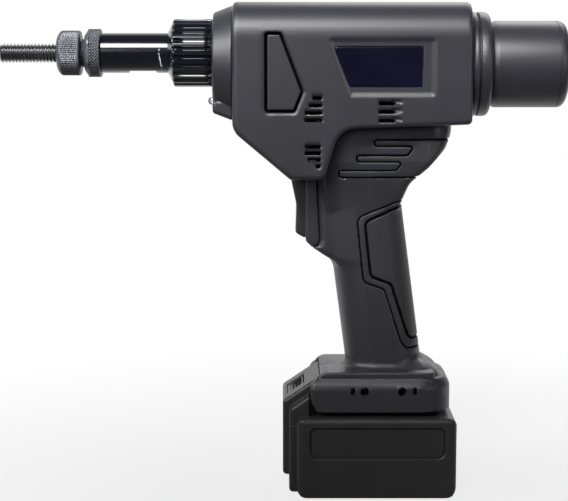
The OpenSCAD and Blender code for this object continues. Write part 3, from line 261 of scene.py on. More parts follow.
def material(name, colour, rough, grain=0.5, depth=0.03, spread=0.1, metallic=0.0, specular=0.5,
             coat=0.0, coat_ior=1.5, stretch=(1, 1, 1)):
    """Moulded or machined surface: grain and depth are the size and height of its texture in mm,
    spread is how much its tone varies, and stretch draws the texture out along an axis."""
    mat = bpy.data.materials.new(name)
    mat.use_nodes = True
    nodes, links = mat.node_tree.nodes, mat.node_tree.links
    shader = nodes["Principled BSDF"]
    shader.inputs["Metallic"].default_value = metallic
    shader.inputs["Specular IOR Level"].default_value = specular
    shader.inputs["Coat Weight"].default_value = coat
    shader.inputs["Coat Roughness"].default_value = COAT_ROUGH
    shader.inputs["Coat IOR"].default_value = coat_ior
    place = nodes.new("ShaderNodeTexCoord")
    scale = nodes.new("ShaderNodeMapping")
    scale.inputs["Scale"].default_value = stretch
    links.new(place.outputs["Object"], scale.inputs["Vector"])

    def noise(size, detail):
        n = nodes.new("ShaderNodeTexNoise")
        n.inputs["Scale"].default_value = 1000.0 / size
        n.inputs["Detail"].default_value = detail
        links.new(scale.outputs["Vector"], n.inputs["Vector"])
        return n.outputs["Fac"]

    fine, broad = noise(grain, 3), noise(TONE_PATCH, 4)
    tone = nodes.new("ShaderNodeValToRGB")
    dark, light = tone.color_ramp.elements
    dark.position, light.position = TONE_RAMP
    dark.color = [c * (1 - spread) for c in colour] + [1]
    light.color = [min(1, c * (1 + spread)) for c in colour] + [1]
    links.new(broad, tone.inputs["Fac"])
    links.new(tone.outputs["Color"], shader.inputs["Base Color"])
    level = nodes.new("ShaderNodeMapRange")
    level.inputs["To Min"].default_value = rough * ROUGH_LOW
    level.inputs["To Max"].default_value = min(1, rough * ROUGH_HIGH)
    links.new(fine, level.inputs["Value"])
    links.new(level.outputs["Result"], shader.inputs["Roughness"])
    bump = nodes.new("ShaderNodeBump")
    bump.inputs["Strength"].default_value = BUMP_STRENGTH
    bump.inputs["Distance"].default_value = depth * MM
    links.new(fine, bump.inputs["Height"])
    links.new(bump.outputs["Normal"], shader.inputs["Normal"])
    return mat


M = {
    "shell": material("shell_plastic", (0.022, 0.022, 0.029), 0.40, 0.75, 0.07, 0.10,
                      specular=0.7),
    "soft_grip": material("soft_grip", (0.028, 0.028, 0.031), 0.48, 0.40, 0.05, 0.08,
                          specular=0.45),
    "black_plastic": material("trigger_plastic", (0.022, 0.022, 0.026), 0.42, 0.45, 0.03, 0.08,
                              specular=0.45),
    "battery_plastic": material("battery_plastic", (0.021, 0.021, 0.022), 0.40, 0.50, 0.04, 0.10,
                                specular=0.5),
    "plate": material("plate_gloss", (0.004, 0.004, 0.014), 0.14, 3.0, 0.005, 0.15, specular=0.3),
    "anodised": material("anodised_black", (0.004, 0.004, 0.009), 0.14, 0.3, 0.005, 0.15,
                         specular=0.5, coat=0.6, stretch=(1, 0.15, 0.15)),
    "ring": material("anodised_ring", (0.004, 0.004, 0.010), 0.16, 0.3, 0.005, 0.15,
                     specular=0.6, coat=0.5, stretch=(1, 0.15, 0.15)),
    "black_steel": material("black_oxide", (0.10, 0.10, 0.12), 0.38, 0.35, 0.004, 0.2,
                            metallic=0.4, specular=0.7),
    "dark_rod": material("oiled_thread", (0.03, 0.03, 0.034), 0.22, 0.35, 0.01, 0.2,
                         specular=1.0, coat=0.6, coat_ior=1.8),
    "steel": material("machined_steel", (0.50, 0.50, 0.52), 0.32, 0.3, 0.01, 0.08,
                      metallic=1.0, stretch=(1, 0.2, 0.2)),
    "copper": material("copper", (0.72, 0.40, 0.20), 0.30, 0.4, 0.01, 0.1, metallic=1.0),
    "board": material("board_lacquer", (0.02, 0.11, 0.04), 0.32, 0.8, 0.02, 0.2),
    "cell": material("cell_wrap", (0.03, 0.12, 0.26), 0.28, 2.0, 0.01, 0.1),
    "clear": material("clear_lamp", (0.97, 0.98, 0.99), 0.08, 0.8, 0.01, 0.05),
    # near-black painted shade for the faces down in grooves, slots and gaps
    "gap": material("gap_shadow", (0.003, 0.003, 0.004), 0.8, 0.5, 0.02, 0.2, specular=0.1),
    "mark": material("mark_paint", (0.75, 0.75, 0.76), 0.5, 0.6, 0.01, 0.05),
}
clear_shader = M["clear"].node_tree.nodes["Principled BSDF"]
clear_shader.inputs["Transmission Weight"].default_value = 0.85
clear_shader.inputs["IOR"].default_value = 1.49

SLOT_OF = {p["node"]: p["material_slot"] for p in frame["record"]["subparts"]}
for node, obj in frame["nodes"].items():
    obj.data.materials.clear()
    obj.data.materials.append(M[SLOT_OF[node]])

# Outlines of the housing: corners (x, z, radius) from the side, (x, y, radius) from above, and
# (y, z, radius) for the body's end
BODY_SIDE = path([(-90, 340, 0), (57, 340, 0), (57, 236, 3), (-23.9, 232.8, 13),
                  (-33.5, 201.9, 5), (-54.2, 201.9, 3), (-90, 232, 12)])
BODY_END = path([(-36, 310.5, 22), (36, 310.5, 22), (36, 150, 0), (-36, 150, 0)], 16)
WEB_SIDE = path([(-34, 245, 0), (48.2, 245, 0), (47.4, 229.5, 8), (42.6, 220, 12),
                 (31.8, 207.9, 16), (20.4, 198.2, 14), (13.5, 182, 0), (-34, 182, 0)])
WEB_PLAN = path([(-35, -22, 0), (48.2, -22, 16), (48.2, 22, 16), (-35, 22, 0)])
SHOULDER = path([(-37.9, 206, 0), (-35.6, 162.4, 1.5), (-36.8, 159.2, 1.5), (-40.1, 157.2, 0),
                 (-33.3, 152.6, 5), (-24, 147, 0), (-5.3, 147, 0), (-5.3, 206, 0)])
FOOT_LOW = path([(-42, -33, 3), (47.5, -33, 20), (47.5, 33, 20), (-42, 33, 3)])
FOOT_SIDE = path([(-44, 90, 0), (-42.4, 68.6, 3), (-41, 61.3, 4), (-36.6, 54.5, 0),
                  (60, 54.5, 0), (60, 90, 0)])
FOOT_TOP = path([(-38, -29.3, 3), (36.5, -29.3, 3), (36.5, 29.3, 3), (-38, 29.3, 3)])
FOOT_CROWN = path([(8, 60, 0), (8, 79.2, 0), (30, 86.4, 8), (42.9, 84.2, 7), (47.4, 71, 4),
                   (47.5, 60, 0)])
FOOT_ROOM = path([(-25, -26, 3), (33.5, -26, 6), (33.5, 26, 6), (-25, 26, 3)])
INLAY = path([(-69.9, 291.9, 2), (-60.1, 291.9, 2), (-46.4, 256.2, 2), (-51.5, 243.5, 2),
              (-69.9, 243.5, 2)])
PLATE = path([(-28, 283.4, 1.5), (26.5, 283.4, 1.5), (26, 258.7, 1.5), (-18, 258.7, 1.5)])
PLATE_ROOM = path([(-32, 289, 2.5), (34.5, 289, 2.5), (34.5, 252.8, 2.5), (-18.8, 252.8, 2.5)])
PALM = path([(400, 227.6, 0), (-2.7, 226.3, 2.4), (-2.7, 221.4, 2.4), (21.7, 221.4, 1),
             (18.4, 216.6, 1), (-13.7, 216.6, 2.4), (-13.7, 211.6, 2.4), (14.8, 211.6, 1),
             (11.3, 207.2, 1), (-24.7, 207.2, 2.4), (-24.7, 201.9, 2.4), (3, 201.9, 0),
             (400, 204.5, 0)])
BAND = path([(400, 193.7, 0), (14.7, 188, 4), (-13, 177.2, 6), (-8.6, 135.7, 5),
             (4.6, 131.2, 4), (15.4, 97.7, 7), (19, 92.7, 4), (400, 92.7, 0)])
PAD = path([(400, 188.7, 0), (15.7, 183.5, 4), (-6.8, 173.7, 4), (-2.9, 140.2, 3),
            (10, 135.2, 5), (20.6, 102.2, 4), (22.6, 99.8, 2), (400, 99.8, 0)])
GUIDE = path([(-44.6, 201.5, 1), (-44.6, 161.5, 3), (-40.1, 157.2, 1.5), (-36.8, 159.2, 1.5),
              (-35.6, 162.4, 1.5), (-37.9, 201.5, 0)])
# Air slots: front end, rear end, height of the middle. The last three are the rear ones
AIR_SLOTS = [(-40.9, -35, 253.1), (-43, -35, 248.4), (-45.4, -35, 243.9), (-45.6, -35, 239.5),
             (-45.2, -35.8, 223.3), (-45.4, -35.8, 219.3), (-43.6, -35.8, 215.2),
             (-38.7, -35.8, 211.2), (-0.4, 9.5, 249.9), (-0.4, 9.5, 244.6), (-0.4, 9.5, 239.2)]
REAR_SLOTS = AIR_SLOTS[-3:]
SLOT_H, SLOT_LIP, RAMP_END = 2.3, 35.3, 14.5
SLOPE_FROM = np.array([-58.2, 61.8])
SLOPE = np.array([29.2, 19.8]) / math.hypot(29.2, 19.8)
CHIN_FROM = (-90, 232)
CHIN = np.array([35.8, -30.1]) / math.hypot(35.8, 30.1)

# Depths and widths of the housing's details
SEAM = 0.04  # half the gap between the two halves
SEAT, CHAMFER_LOW = 34.0, 34.9  # floor of the recesses in the sides and of their chamfers
INLAY_GAP, PALM_GAP, BAND_GAP, PAD_GAP = 1.5, 0.9, 0.8, 1.5
PAD_T, GROOVE = 1.3, 2.6  # depth of the soft pads' seats and of the grooves round them
HOLLOW_LOW, BOSS_R = 72.5, 4.5
HEAD_R, SHANK_R, MARK_R = 2.6, 1.6, 2.3
FLANGE_X, FLANGE_ROOM, TRIGGER_LOW = -39.3, 11.3, 162.7
PAD_CLEAR = 0.1


def above_slope(x, z):
    """Distance above the sloping line that the foot and the battery's hump share."""
    return -(x - SLOPE_FROM[0]) * SLOPE[1] + (z - SLOPE_FROM[1]) * SLOPE[0]


def body_form(x, y, z):
    return rmax(poly(BODY_SIDE, x, z), poly(BODY_END, y, z), 3.0)


def web_form(x, y, z):
    taper = 5.0 * np.clip((212 - z) / 27, 0, 1)
    return rmax(poly(WEB_SIDE, x, z), poly(WEB_PLAN, x, y) + taper, 4.0)


def grip_form(x, y, z):
    u = (x - GRIP_X) * math.cos(GRIP_LEAN) + (z - GRIP_Z) * math.sin(GRIP_LEAN)
    oval = np.hypot(np.maximum(np.abs(u) - GRIP_FLAT, 0), y) - GRIP_R
    return np.maximum(oval, slab(z, 66, 203))


def foot_form(x, y, z):
    plan = poly(FOOT_LOW, x, y)
    low = rmax(rmax(plan, (plan + 0.75 * (z - 71.3)) / 1.25, 1.5), slab(z, 55, 76), 0.8)
    low = rmax(low, poly(FOOT_SIDE, x, z), 0.8)
    top = rmax(poly(FOOT_TOP, x, y), slab(z, 60, 80.2), 1.2)
    side = np.maximum(plan, (plan + 0.95 * (z - 71)) / 1.38)
    crown = rmax(poly(FOOT_CROWN, x, z), side, 7.0)
    return rmax(rmin(rmin(low, top, 0.6), crown, 0.6), above_slope(x, z) - 1.2, 1.5)


def handle_form(x, y, z):
    shoulder = rmax(poly(SHOULDER, x, z), np.abs(y) - 16, 4.0)
    grip = rmin(rmin(web_form(x, y, z), grip_form(x, y, z), 3.0), shoulder, 5.0)
    return rmin(grip, foot_form(x, y, z), 4.5)


def hollow_form(x, y, z):
    """Room inside the housing, less the screws' bosses and the wall behind the inlays."""
    room = join(body_form(x, y, z), web_form(x, y, z), grip_form(x, y, z) + 0.6) + WALL
    bosses = [np.hypot(x - sx, z - sz) - BOSS_R for sx, sz in BODY_SCREWS]
    backing = np.maximum(poly(INLAY, x, z) - 3, 28 - np.abs(y))
    return carve(np.maximum(room, HOLLOW_LOW - z), bosses + [backing])


def screw_pits(x, y, z, places, side):
    """Stepped holes that the screws go in: side is the way their heads face."""
    pits = []
    for sx, sz in places:
        r = np.hypot(x - sx, z - sz)
        pits += [np.maximum(r - HEAD_R, 12 - side * y), np.maximum(r - SHANK_R, -10 - side * y)]
    return join(*pits)


def lens_form(x, y, z, grow=0.0):
    """Clear strip along the slope of the chin."""
    along = (x - CHIN_FROM[0]) * CHIN[0] + (z - CHIN_FROM[1]) * CHIN[1]
    out = (x - CHIN_FROM[0]) * CHIN[1] - (z - CHIN_FROM[1]) * CHIN[0]
    side = box2(along, out, 5.5 - grow, 40.5 + grow, -1.4 - grow, 1.2 + grow, 0.5)
    return rmax(side, np.abs(y) - 9 - grow, 0.5)


def air_slots(x, a, z):
    """Slots that rise inward, a being the distance from the plane of symmetry."""
    rise = z + 0.9 * (BODY_HALF - a)
    return join(*(box2(x, rise, p, q, m - SLOT_H / 2, m + SLOT_H / 2, 0.7)
                  for p, q, m in AIR_SLOTS))


def body_painted_shade(x, y, z):
    """Where the body's faces lie in the groove round an inlay or in an air slot: the faces that get
    painted shade.
    """
    a = np.abs(y)
    groove = slab(poly(INLAY, x, z), -1.7, 0.2)
    return (np.minimum(groove, air_slots(x, a, z) - 0.25) < 0) & (slab(a, 26, 35.1) < 0)


def handle_painted_shade(x, y, z):
    """Where the handle's faces lie in the grooves round the soft pads: the faces that get painted
    shade.
    """
    grooves = join(slab(poly(PALM, x, z), -1.1, 0.2), slab(poly(BAND, x, z), -1.0, 0.2),
                   slab(poly(PAD, x, z), -0.2, 1.7))
    return (grooves < 0) & (slab(-handle_form(x, y, z), 0.5, 3.2) < 0)


def body_skin(x, y, z, side):
    a = np.abs(y)
    deep = BODY_HALF - a
    inlay, room = poly(INLAY, x, z), poly(PLATE_ROOM, x, z)
    barrel = np.hypot(y, z - BODY_Z)
    ramps = join(*(np.maximum(box2(x, z, 8, RAMP_END, m - SLOT_H / 2, m + SLOT_H / 2, 0.5),
                              deep - 0.3 * (RAMP_END - x)) for _, _, m in REAR_SLOTS))
    cuts = [
        # inlays and plates with their chamfers
        np.maximum(inlay, SEAT - a),
        np.maximum(slab(inlay, -INLAY_GAP, 0), 30.5 - a),
        np.maximum((inlay - 1.6 + 1.5 * deep) / 1.8, CHAMFER_LOW - a),
        np.maximum((room + 2.6 * deep) / 2.79, CHAMFER_LOW - a),
        np.maximum(poly(PLATE, x, z), SEAT - a),
        # air slots, their lips and the ramps behind the rear ones
        np.maximum(air_slots(x, a, z) - np.maximum(a - SLOT_LIP, 0), 29 - a),
        np.maximum(ramps, 33.6 - a),
        # seats of the two collars, the lens and the screws
        np.maximum(barrel - 32.1, x + 84),
        np.maximum(barrel - 28.1, 50 - x),
        lens_form(x, y, z, 0.1),
        screw_pits(x, y, z, BODY_SCREWS, 1),
    ]
    shell = carve(body_form(x, y, z), [hollow_form(x, y, z)])
    return np.maximum(carve(shell, cuts), SEAM - side * y)


def handle_skin(x, y, z, side):
    a = np.abs(y)
    whole = handle_form(x, y, z)
    band, palm, pad = (poly(outline, x, z) for outline in (BAND, PALM, PAD))
    grooves = join(slab(palm, -PALM_GAP, 0), slab(band, -BAND_GAP, 0), slab(pad, 0, PAD_GAP))
    marks = join(*(box2(x, z, m, n, 66.4, 71, 0.4) for m, n in ((-16.2, -13.8), (22.6, 25))))
    far_pits = join(*(np.hypot(x - sx, z - sz) for sx, sz in FOOT_SCREWS)) - MARK_R
    cuts = [
        # soft pads, and the body above
        np.maximum(np.minimum(band, palm), -(whole + PAD_T)),
        np.maximum(grooves, -(whole + GROOVE)),
        body_form(x, y, z) - 0.35,
        # trigger's guide, and the room its flange moves in
        np.maximum(poly(GUIDE, x, z) - 0.25, a - 14.25),
        meet(a - FLANGE_ROOM, slab(x, FLANGE_X, -24), slab(z, TRIGGER_LOW, 201.5)),
        # battery's rails, terminal block, board and hump
        meet(a - 24.2, slab(z, 59.5, 64.5), x - 40),
        meet(a - 20, z - 60, x - 40),
        meet(a - 18, slab(z, 63, 74), slab(x, 20.5, 35.5)),
        np.maximum(slab(z, HOLLOW_LOW, 76.5), poly(FOOT_ROOM, x, y)),
        meet(a - 25.8, x + 35.4, slab(z, 64.4, 90)),
        # screws, and the marks beside them
        screw_pits(x, y, z, BODY_SCREWS, 1),
        screw_pits(x, y, z, FOOT_SCREWS, -1),
        np.maximum(marks, 25 - a),
        np.maximum(far_pits, 29.5 - y),
    ]
    shell = carve(whole, [hollow_form(x, y, z)])
    return np.maximum(carve(shell, cuts), SEAM - side * y)


for word, side, y0, y1 in (("left", -1, -37.2, 0.8), ("right", 1, -0.8, 37.2)):
    solid(f"skin_body_{word}", lambda x, y, z, s=side: body_skin(x, y, z, s),
          (-91.4, y0, 200.4), (58.6, y1, 312), 0.6, M["shell"], [f"body_{word}"],
          keep=0.3, gap=body_painted_shade)
    solid(f"skin_handle_{word}", lambda x, y, z, s=side: handle_skin(x, y, z, s),
          (-44, y0 * 0.95, 53.8), (50, y1 * 0.95, 247), 0.6, M["shell"], [f"handle_{word}"],
          keep=0.3, gap=handle_painted_shade)


# Soft pads, inlays, plates and lens
# Faces of the soft pads down below the handle's surface, which get painted shade
def soft_painted_shade(x, y, z):
    return -handle_form(x, y, z) > 0.45


def soft_piece(region):
    """Field of a pad that follows the handle's surface inside a region of the side view."""
    def field(x, y, z):
        whole = handle_form(x, y, z)
        return meet(rmax(region(x, z), whole, 0.5), -(whole + PAD_T - PAD_CLEAR),
                    PAD_CLEAR - body_form(x, y, z))
    return field


SOFT_PIECES = (
    ("palm_pad", lambda x, z: poly(PALM, x, z) + PALM_GAP, (-27, -23.5, 199), (50, 23.5, 230)),
    ("grip_pad", lambda x, z: poly(PAD, x, z), (-9, -20.5, 97), (32, 20.5, 193)),
    ("grip_band", lambda x, z: np.maximum(poly(BAND, x, z) + BAND_GAP, PAD_GAP - poly(PAD, x, z)),
     (-15, -20.5, 90), (32, 20.5, 197)),
)
for node, region, low, high in SOFT_PIECES:
    solid(f"skin_{node}", soft_piece(region), low, high, 0.5, M["soft_grip"], [node],
          gap=soft_painted_shade)


def inlay_skin(x, y, z):
    return np.maximum(rmax(poly(INLAY, x, z) + INLAY_GAP, -y - 35.8, 0.6), 34.05 + y)


def plate_skin(x, y, z):
    return np.maximum(rmax(poly(PLATE, x, z) + 0.12, -y - 35.2, 0.35), 34.05 + y)


# The inlays' faces down in their groove get painted shade
solid("skin_side_inlays", inlay_skin, (-72, -36.9, 241), (-44, -32.9, 294), 0.35, M["shell"],
      ["side_inlays"], twin=True, gap=lambda x, y, z: np.abs(y) < 35.2)
solid("skin_name_plates", plate_skin, (-30, -36, 256), (28, -33.2, 286), 0.35, M["plate"],
      ["name_plates"], twin=True)
solid("skin_chin_lens", lens_form, (-91, -10.5, 195), (-56, 10.5, 232), 0.4, M["clear"],
      ["chin_lens"])

# Trigger and its guide
TRIGGER = path([(-54, 200.9, 1.5), (-50.4, 183.9, 24), (-51, 166, 2.5), (-46, 163, 2.5),
                (-37, 163, 0), (-37, 200.9, 0)])


def guide_skin(x, y, z):
    a, span = np.abs(y), slab(z, TRIGGER_LOW, 203)
    slot = np.maximum(a - 8.8, span)
    deep = meet(a - FLANGE_ROOM, span, FLANGE_X - x)
    return carve(rmax(poly(GUIDE, x, z), a - 14, 1.6), [slot, deep])


def trigger_skin(x, y, z):
    a = np.abs(y)
    lever = rmax(poly(TRIGGER, x, z), a - 8.5, 2.2)
    flange = meet(slab(x, -39, -37), a - 10.5, slab(z, 163, 200.9))
    rod = np.maximum(np.hypot(y, z - 181.95) - 3, slab(x, -38, -20))
    return join(lever, flange, rod)


solid("skin_trigger_guide", guide_skin, (-46, -15.2, 155.6), (-34, 15.2, 203), 0.45, M["shell"],
      ["trigger_guide"])
solid("skin_trigger", trigger_skin, (-55.4, -11.6, 161.6), (-18.8, 11.6, 202.4), 0.45,
      M["black_plastic"], ["trigger"], body="trigger")

# Collars and tail
COLLAR_X, COLLAR_R, COLLAR_SLOPE, COLLAR_NORM = -102.5, 30.75, 0.38, 1.07
LAMP_Z = 249
TAIL_R, TAIL_ROUND, TAIL_STEPS = 27, 5, 8
AXIS = 0.02  # radius at which a turned shape closes on its axis


def collar_skin(x, y, z):
    spread = COLLAR_SLOPE * (x - COLLAR_X)
    cone = (np.hypot(y, z - COLLAR_Z) - COLLAR_R - spread) / COLLAR_NORM
    keel = rmax(np.abs(y) - 23, (COLLAR_Z - COLLAR_R - spread - z) / COLLAR_NORM, 2.5)
    keel = rmax(keel, z - 249.5, 1.0)
    collar = rmax(np.minimum(cone, keel), slab(x, COLLAR_X, -89.9), 1.4)
    spigot = np.maximum(np.hypot(y, z - BODY_Z) - 32, slab(x, -92, -78))
    nose, light = np.hypot(y, z - NOSE_Z), np.hypot(y, z - LAMP_Z)
    cuts = [
        # stepped bore for the nose sleeve
        np.maximum(nose - 12.55, x + 96),
        np.maximum(nose - 16.55, slab(x, -96.5, -92.4)),
        np.maximum(nose - 21.05, -92.5 - x),
        # lamp's hole and its countersink
        np.maximum(light - 2.55, x + 94.5),
        np.maximum((light - 4.2 + (x - COLLAR_X) * 1.2) / 1.56, x + 100),
    ]
    return carve(np.minimum(collar, spigot), cuts)


def rear_collar_skin(x, y, z):
    r, nose = np.hypot(y, z - BODY_Z), np.hypot(y, z - NOSE_Z)
    collar = rmax(r - 32.5, slab(x, 56.5, 70), 3.5)
    spigot = np.maximum(r - 28, slab(x, 51, 58))
    groove = np.maximum(30.6 - r, slab(x, 61.6, 62.6))
    return carve(np.minimum(collar, spigot), [groove, np.maximum(nose - 14.55, 62 - x), nose - 7.1])


solid("skin_gear_case", collar_skin, (-103.6, -37, 235), (-76.8, 37, 309), 0.6, M["shell"],
      ["gear_case"])
solid("skin_rear_collar", rear_collar_skin, (49.8, -33.6, 238.4), (71.2, 33.6, 305.6), 0.6,
      M["shell"], ["rear_collar"])
arc = [math.radians(90 * k / TAIL_STEPS) for k in range(1, TAIL_STEPS + 1)]
tail_rows = [(70, 25.4), (70.6, 26), (72, 26.2), (73.4, 26.9), (74.2, TAIL_R), (111.4, TAIL_R),
             (111.6, 26.6), (112.2, 26.6), (112.4, TAIL_R), (113, TAIL_R)]
tail_rows += [(113 + TAIL_ROUND * math.sin(a), TAIL_R - TAIL_ROUND + TAIL_ROUND * math.cos(a))
              for a in arc]
tail_rows += [(118, 20), (117.4, 19.4), (117.4, AXIS), (115, AXIS), (115, 24), (70, 24)]
lathe("skin_tail_cap", tail_rows, 120, BODY_Z, M["shell"], ["tail_cap"])

# Nose
ROD_TIP, ROD_R = -236.5, 6.0
THREAD_PITCH, THREAD_DEPTH, THREAD_END = 2.17, 1.15, -188.0
ANVIL_RIBS, NECK_R, NECK_PITCH = 66, 9, 1.0
LOCK_RIBS, LOCK_R, LOCK_LEAD, LOCK_FLAT = 48, 15, 1.9, 13.75
RIBS, RING_R, RING_SHOULDER = 24, 21, -127.4
SLEEVE_R, FLAT_R = 12.5, 11.1
NO_LIMIT = 99


def tri(p):
    """Wave of straight ramps between 0 and 1."""
    return np.abs(2 * (p - np.floor(p)) - 1)


def thread(x, r, a):
    """Screw thread cut into the part of the rod ahead of the anvil."""
    wave = tri(x / THREAD_PITCH + a / (2 * math.pi))
    cut = np.clip(wave * 1.25 - 0.12, 0, 1) * THREAD_DEPTH
    fade = np.clip((x - ROD_TIP) / 1.2, 0, 1) * np.clip((THREAD_END - x) / 1.0, 0, 1)
    return np.where(r > 3, np.minimum(r, ROD_R - cut * fade), r)


def anvil_shape(x, r, a):
    """Straight knurl round the head, and the thread of the neck."""
    head = (r > 13.2) & (x > -197.2) & (x < -186.4)
    neck = (np.abs(r - NECK_R) < 0.01) & (x < -176)
    knurl = 0.2 * (1 + np.cos(a * ANVIL_RIBS)) * head
    wave = tri(x / NECK_PITCH + a / (2 * math.pi))
    return r - knurl - np.clip(wave * 1.4 - 0.2, 0, 1) * 0.5 * neck


def lock_shape(x, r, a):
    """Crossed knurl round the rear of the nut, and six spanner flats ahead of it."""
    turn, lead = a * LOCK_RIBS / (2 * math.pi), x / LOCK_LEAD
    band = (x > -179.2) & (x < -173.4) & (r > 14.5)
    knurl = 0.6 * np.maximum(tri(turn + lead), tri(turn - lead)) ** 3 * band
    face = (a + math.pi / 6) % (math.pi / 3) - math.pi / 6
    flat = np.where((x < -179.4) & (r > 10), LOCK_FLAT / np.cos(face), NO_LIMIT)
    return np.minimum(r - knurl, flat)


def ring_shape(x, r, a):
    """Flutes that start behind the ring's shoulder."""
    wave = np.cos(a * RIBS + math.pi)
    fade = np.clip((x - RING_SHOULDER) / 1.6, 0, 1)
    flute = 1.9 * np.clip((wave + 0.45) / 1.1, 0, 1) ** 0.7 * fade
    return np.where(r > 14, np.maximum(r - flute, 13), r)


def sleeve_shape(x, r, a):
    """Flat milled into the sleeve from below."""
    down = np.cos(a + math.pi / 2)
    milled = (x > -154.85) & (x < -138.75) & (down > 0.3) & (r > 11)
    return np.minimum(r, np.where(milled, FLAT_R / np.maximum(down, 0.3), NO_LIMIT))


rod_rows = [(ROD_TIP, AXIS), (ROD_TIP, 4.7)]
rod_rows += [(x, min(ROD_R, 4.8 + (x - ROD_TIP)))
             for x in np.arange(ROD_TIP, -187.5, THREAD_PITCH / 14)]
rod_rows += [(-187.4, 5.8), (-157.01, 5.8), (-157, 7.8), (-152, 7.8), (-151.9, 5.0), (-130, 5.0),
             (-130, AXIS)]
lathe("skin_mandrel", rod_rows, 56, NOSE_Z, M["dark_rod"], ["mandrel"],
      body="mandrel", shape=thread, sharp=60)

anvil_rows = [(-200.5, 6.4), (-200.5, 9.6), (-200.3, 10.4), (-199.6, 11.8), (-198.8, 12.9),
              (-198, 13.6), (-197.1, 14), (-195, 14), (-192, 14), (-189, 14), (-186.5, 14),
              (-186.3, 14), (-185.7, 13.2), (-185.7, NECK_R)]
anvil_rows += [(x, NECK_R) for x in np.arange(-185.5, -176, 0.2)]
anvil_rows += [(-165, NECK_R), (-164.5, 8.5), (-164.5, 6.4)]
lathe("skin_anvil", anvil_rows, ANVIL_RIBS * 8, NOSE_Z, M["black_steel"], ["anvil"],
      body="anvil", shape=anvil_shape, sharp=60)

lock_rows = [(-182.9, 9.3), (-182.9, 11.5), (-182.4, 12.3), (-181.4, 13.6), (-180.8, LOCK_R),
             (-179.6, LOCK_R), (-179.4, 14.2), (-179.25, LOCK_R)]
lock_rows += [(x, LOCK_R) for x in np.arange(-179.1, -173.4, 0.18)]
lock_rows += [(-173.3, LOCK_R), (-172.9, 14.5), (-172.9, 9.3)]
lathe("skin_lock_nut", lock_rows, LOCK_RIBS * 12, NOSE_Z, M["black_steel"], ["lock_nut"],
      body="lock_nut", shape=lock_shape, sharp=60)

ring_rows = [(-130.6, 12.85), (-130.6, 13.5), (-130.3, 14.1), (-129.4, 16), (-128.4, 18.2),
             (RING_SHOULDER, 20.3), (-127, 20.85)]
ring_rows += [(x, RING_R) for x in (-126.6, -126.2, -125.8, -120, -114, -108, -103.6)]
ring_rows += [(-103.1, 20.6), (-103.1, 12.85)]
lathe("skin_stroke_ring", ring_rows, RIBS * 20, NOSE_Z, M["ring"], ["stroke_ring"],
      body="stroke_ring", shape=ring_shape, sharp=50)

sleeve_rows = [(-172.7, 9.35), (-172.7, 12.0)]
sleeve_rows += [(x, SLEEVE_R) for x in (-172.2, -168.6, -155.6, -154.8, -148, -138.8, -138, -133,
                                        -96.5)]
sleeve_rows += [(-96.5, 16.5), (-92.5, 16.5), (-92.5, 9.8), (-164, 9.8), (-164, 9.35)]
lathe("skin_nose_sleeve", sleeve_rows, 96, NOSE_Z, M["anodised"], ["nose_sleeve"],
      shape=sleeve_shape)


def strip(name, ends, widths, steps=24):
    """Thin painted line on the sleeve between two points (x, angle), with a width at each end."""
    points, faces = [], []
    for k in range(steps + 1):
        t = k / steps
        x = ends[0][0] + (ends[1][0] - ends[0][0]) * t
        a = math.radians(ends[0][1] + (ends[1][1] - ends[0][1]) * t)
        half = (widths[0] + (widths[1] - widths[0]) * t) / 2
        for w in (-half, half):
            for r in (SLEEVE_R - 0.1, SLEEVE_R + 0.03):
                points.append((x + w, -r * math.cos(a), NOSE_Z + r * math.sin(a)))
    for k in range(steps):
        a, b = 4 * k, 4 * k + 4
        for i, j in ((0, 1), (1, 3), (3, 2), (2, 0)):
            faces.append([a + i, b + i, b + j, a + j])
    faces += [[0, 1, 3, 2], [4 * steps + 2, 4 * steps + 3, 4 * steps + 1, 4 * steps]]
    make(name, points, faces, M["mark"], "frame", [])


strip("index_mark", ((-136.0, 1), (-134.6, -42)), (0.3, 1.1))
strip("index_tick", ((-135.8, 12), (-135.9, 7)), (0.5, 0.3))
strip("index_dot", ((-134.5, -51), (-134.5, -55)), (0.6, 0.6))

# Battery
PACK_SIDE = path([(-50.5, 52.4, 6), (50.5, 52.4, 6), (50.5, 0, 8), (-50.5, 0, 8)])
PACK_END = path([(-37, 52.4, 4), (37, 52.4, 4), (37, 0, 4), (-37, 0, 4)])
PACK_PLAN = path([(-50.5, -37, 5), (50.5, -37, 5), (50.5, 37, 5), (-50.5, 37, 5)])
STEP_MID = path([(-55, 3, 2.5), (-55, 56.97, 5), (-36, 69.85, 0), (-36, 3, 0)])
STEP_FRONT = path([(-59, 13, 2.5), (-59, 61.26, 3), (-35, 77.53, 0), (-35, 13, 0)])
BUTTON = path([(-56, 48.5, 0), (-56, 62.69, 1), (-45.5, 69.81, 1), (-45.5, 48.5, 0)])
PACK_HALF, PACK_WALL = 37, 2.4
STEP_BACK = -42.2  # where the front steps end under the foot
TUB_TOP, COVER_LOW = 46.95, 46.2
RIB_PITCH = 1.7


def pack_block(x, y, z):
    return meet(poly(PACK_SIDE, x, z), poly(PACK_END, y, z), poly(PACK_PLAN, x, y))


def pack_form(x, y, z):
    """Block, the two steps of its front, and the rail on top."""
    a, rail = np.abs(y), slab(x, -43, 39.5)
    behind = x - STEP_BACK
    mid = np.maximum(rmax(poly(STEP_MID, x, z), a - 31, 2.2), behind)
    front = np.maximum(rmax(poly(STEP_FRONT, x, z), a - 25.5, 2.2),
                       np.minimum(behind, np.maximum(x + 35.7, 64.7 - z)))
    neck = meet(rail, a - 19.7, slab(z, 51, 60.8))
    head = rmax(rail, np.maximum(a - 23.9, slab(z, 59.8, 64.2)), 0.6)
    return join(pack_block(x, y, z), mid, front, neck, head)


def pack_cuts(x, y, z):
    """Room for the cells, for the button and for the terminal blades."""
    a = np.abs(y)
    return [np.maximum(pack_block(x, y, z) + PACK_WALL, z - 50),
            meet(slab(x, -56.3, -45.2), a - 12.3, 43.7 - z),
            meet(np.abs(a - 12) - 1.8, slab(x, 19.5, 41), slab(z, 49, 66))]


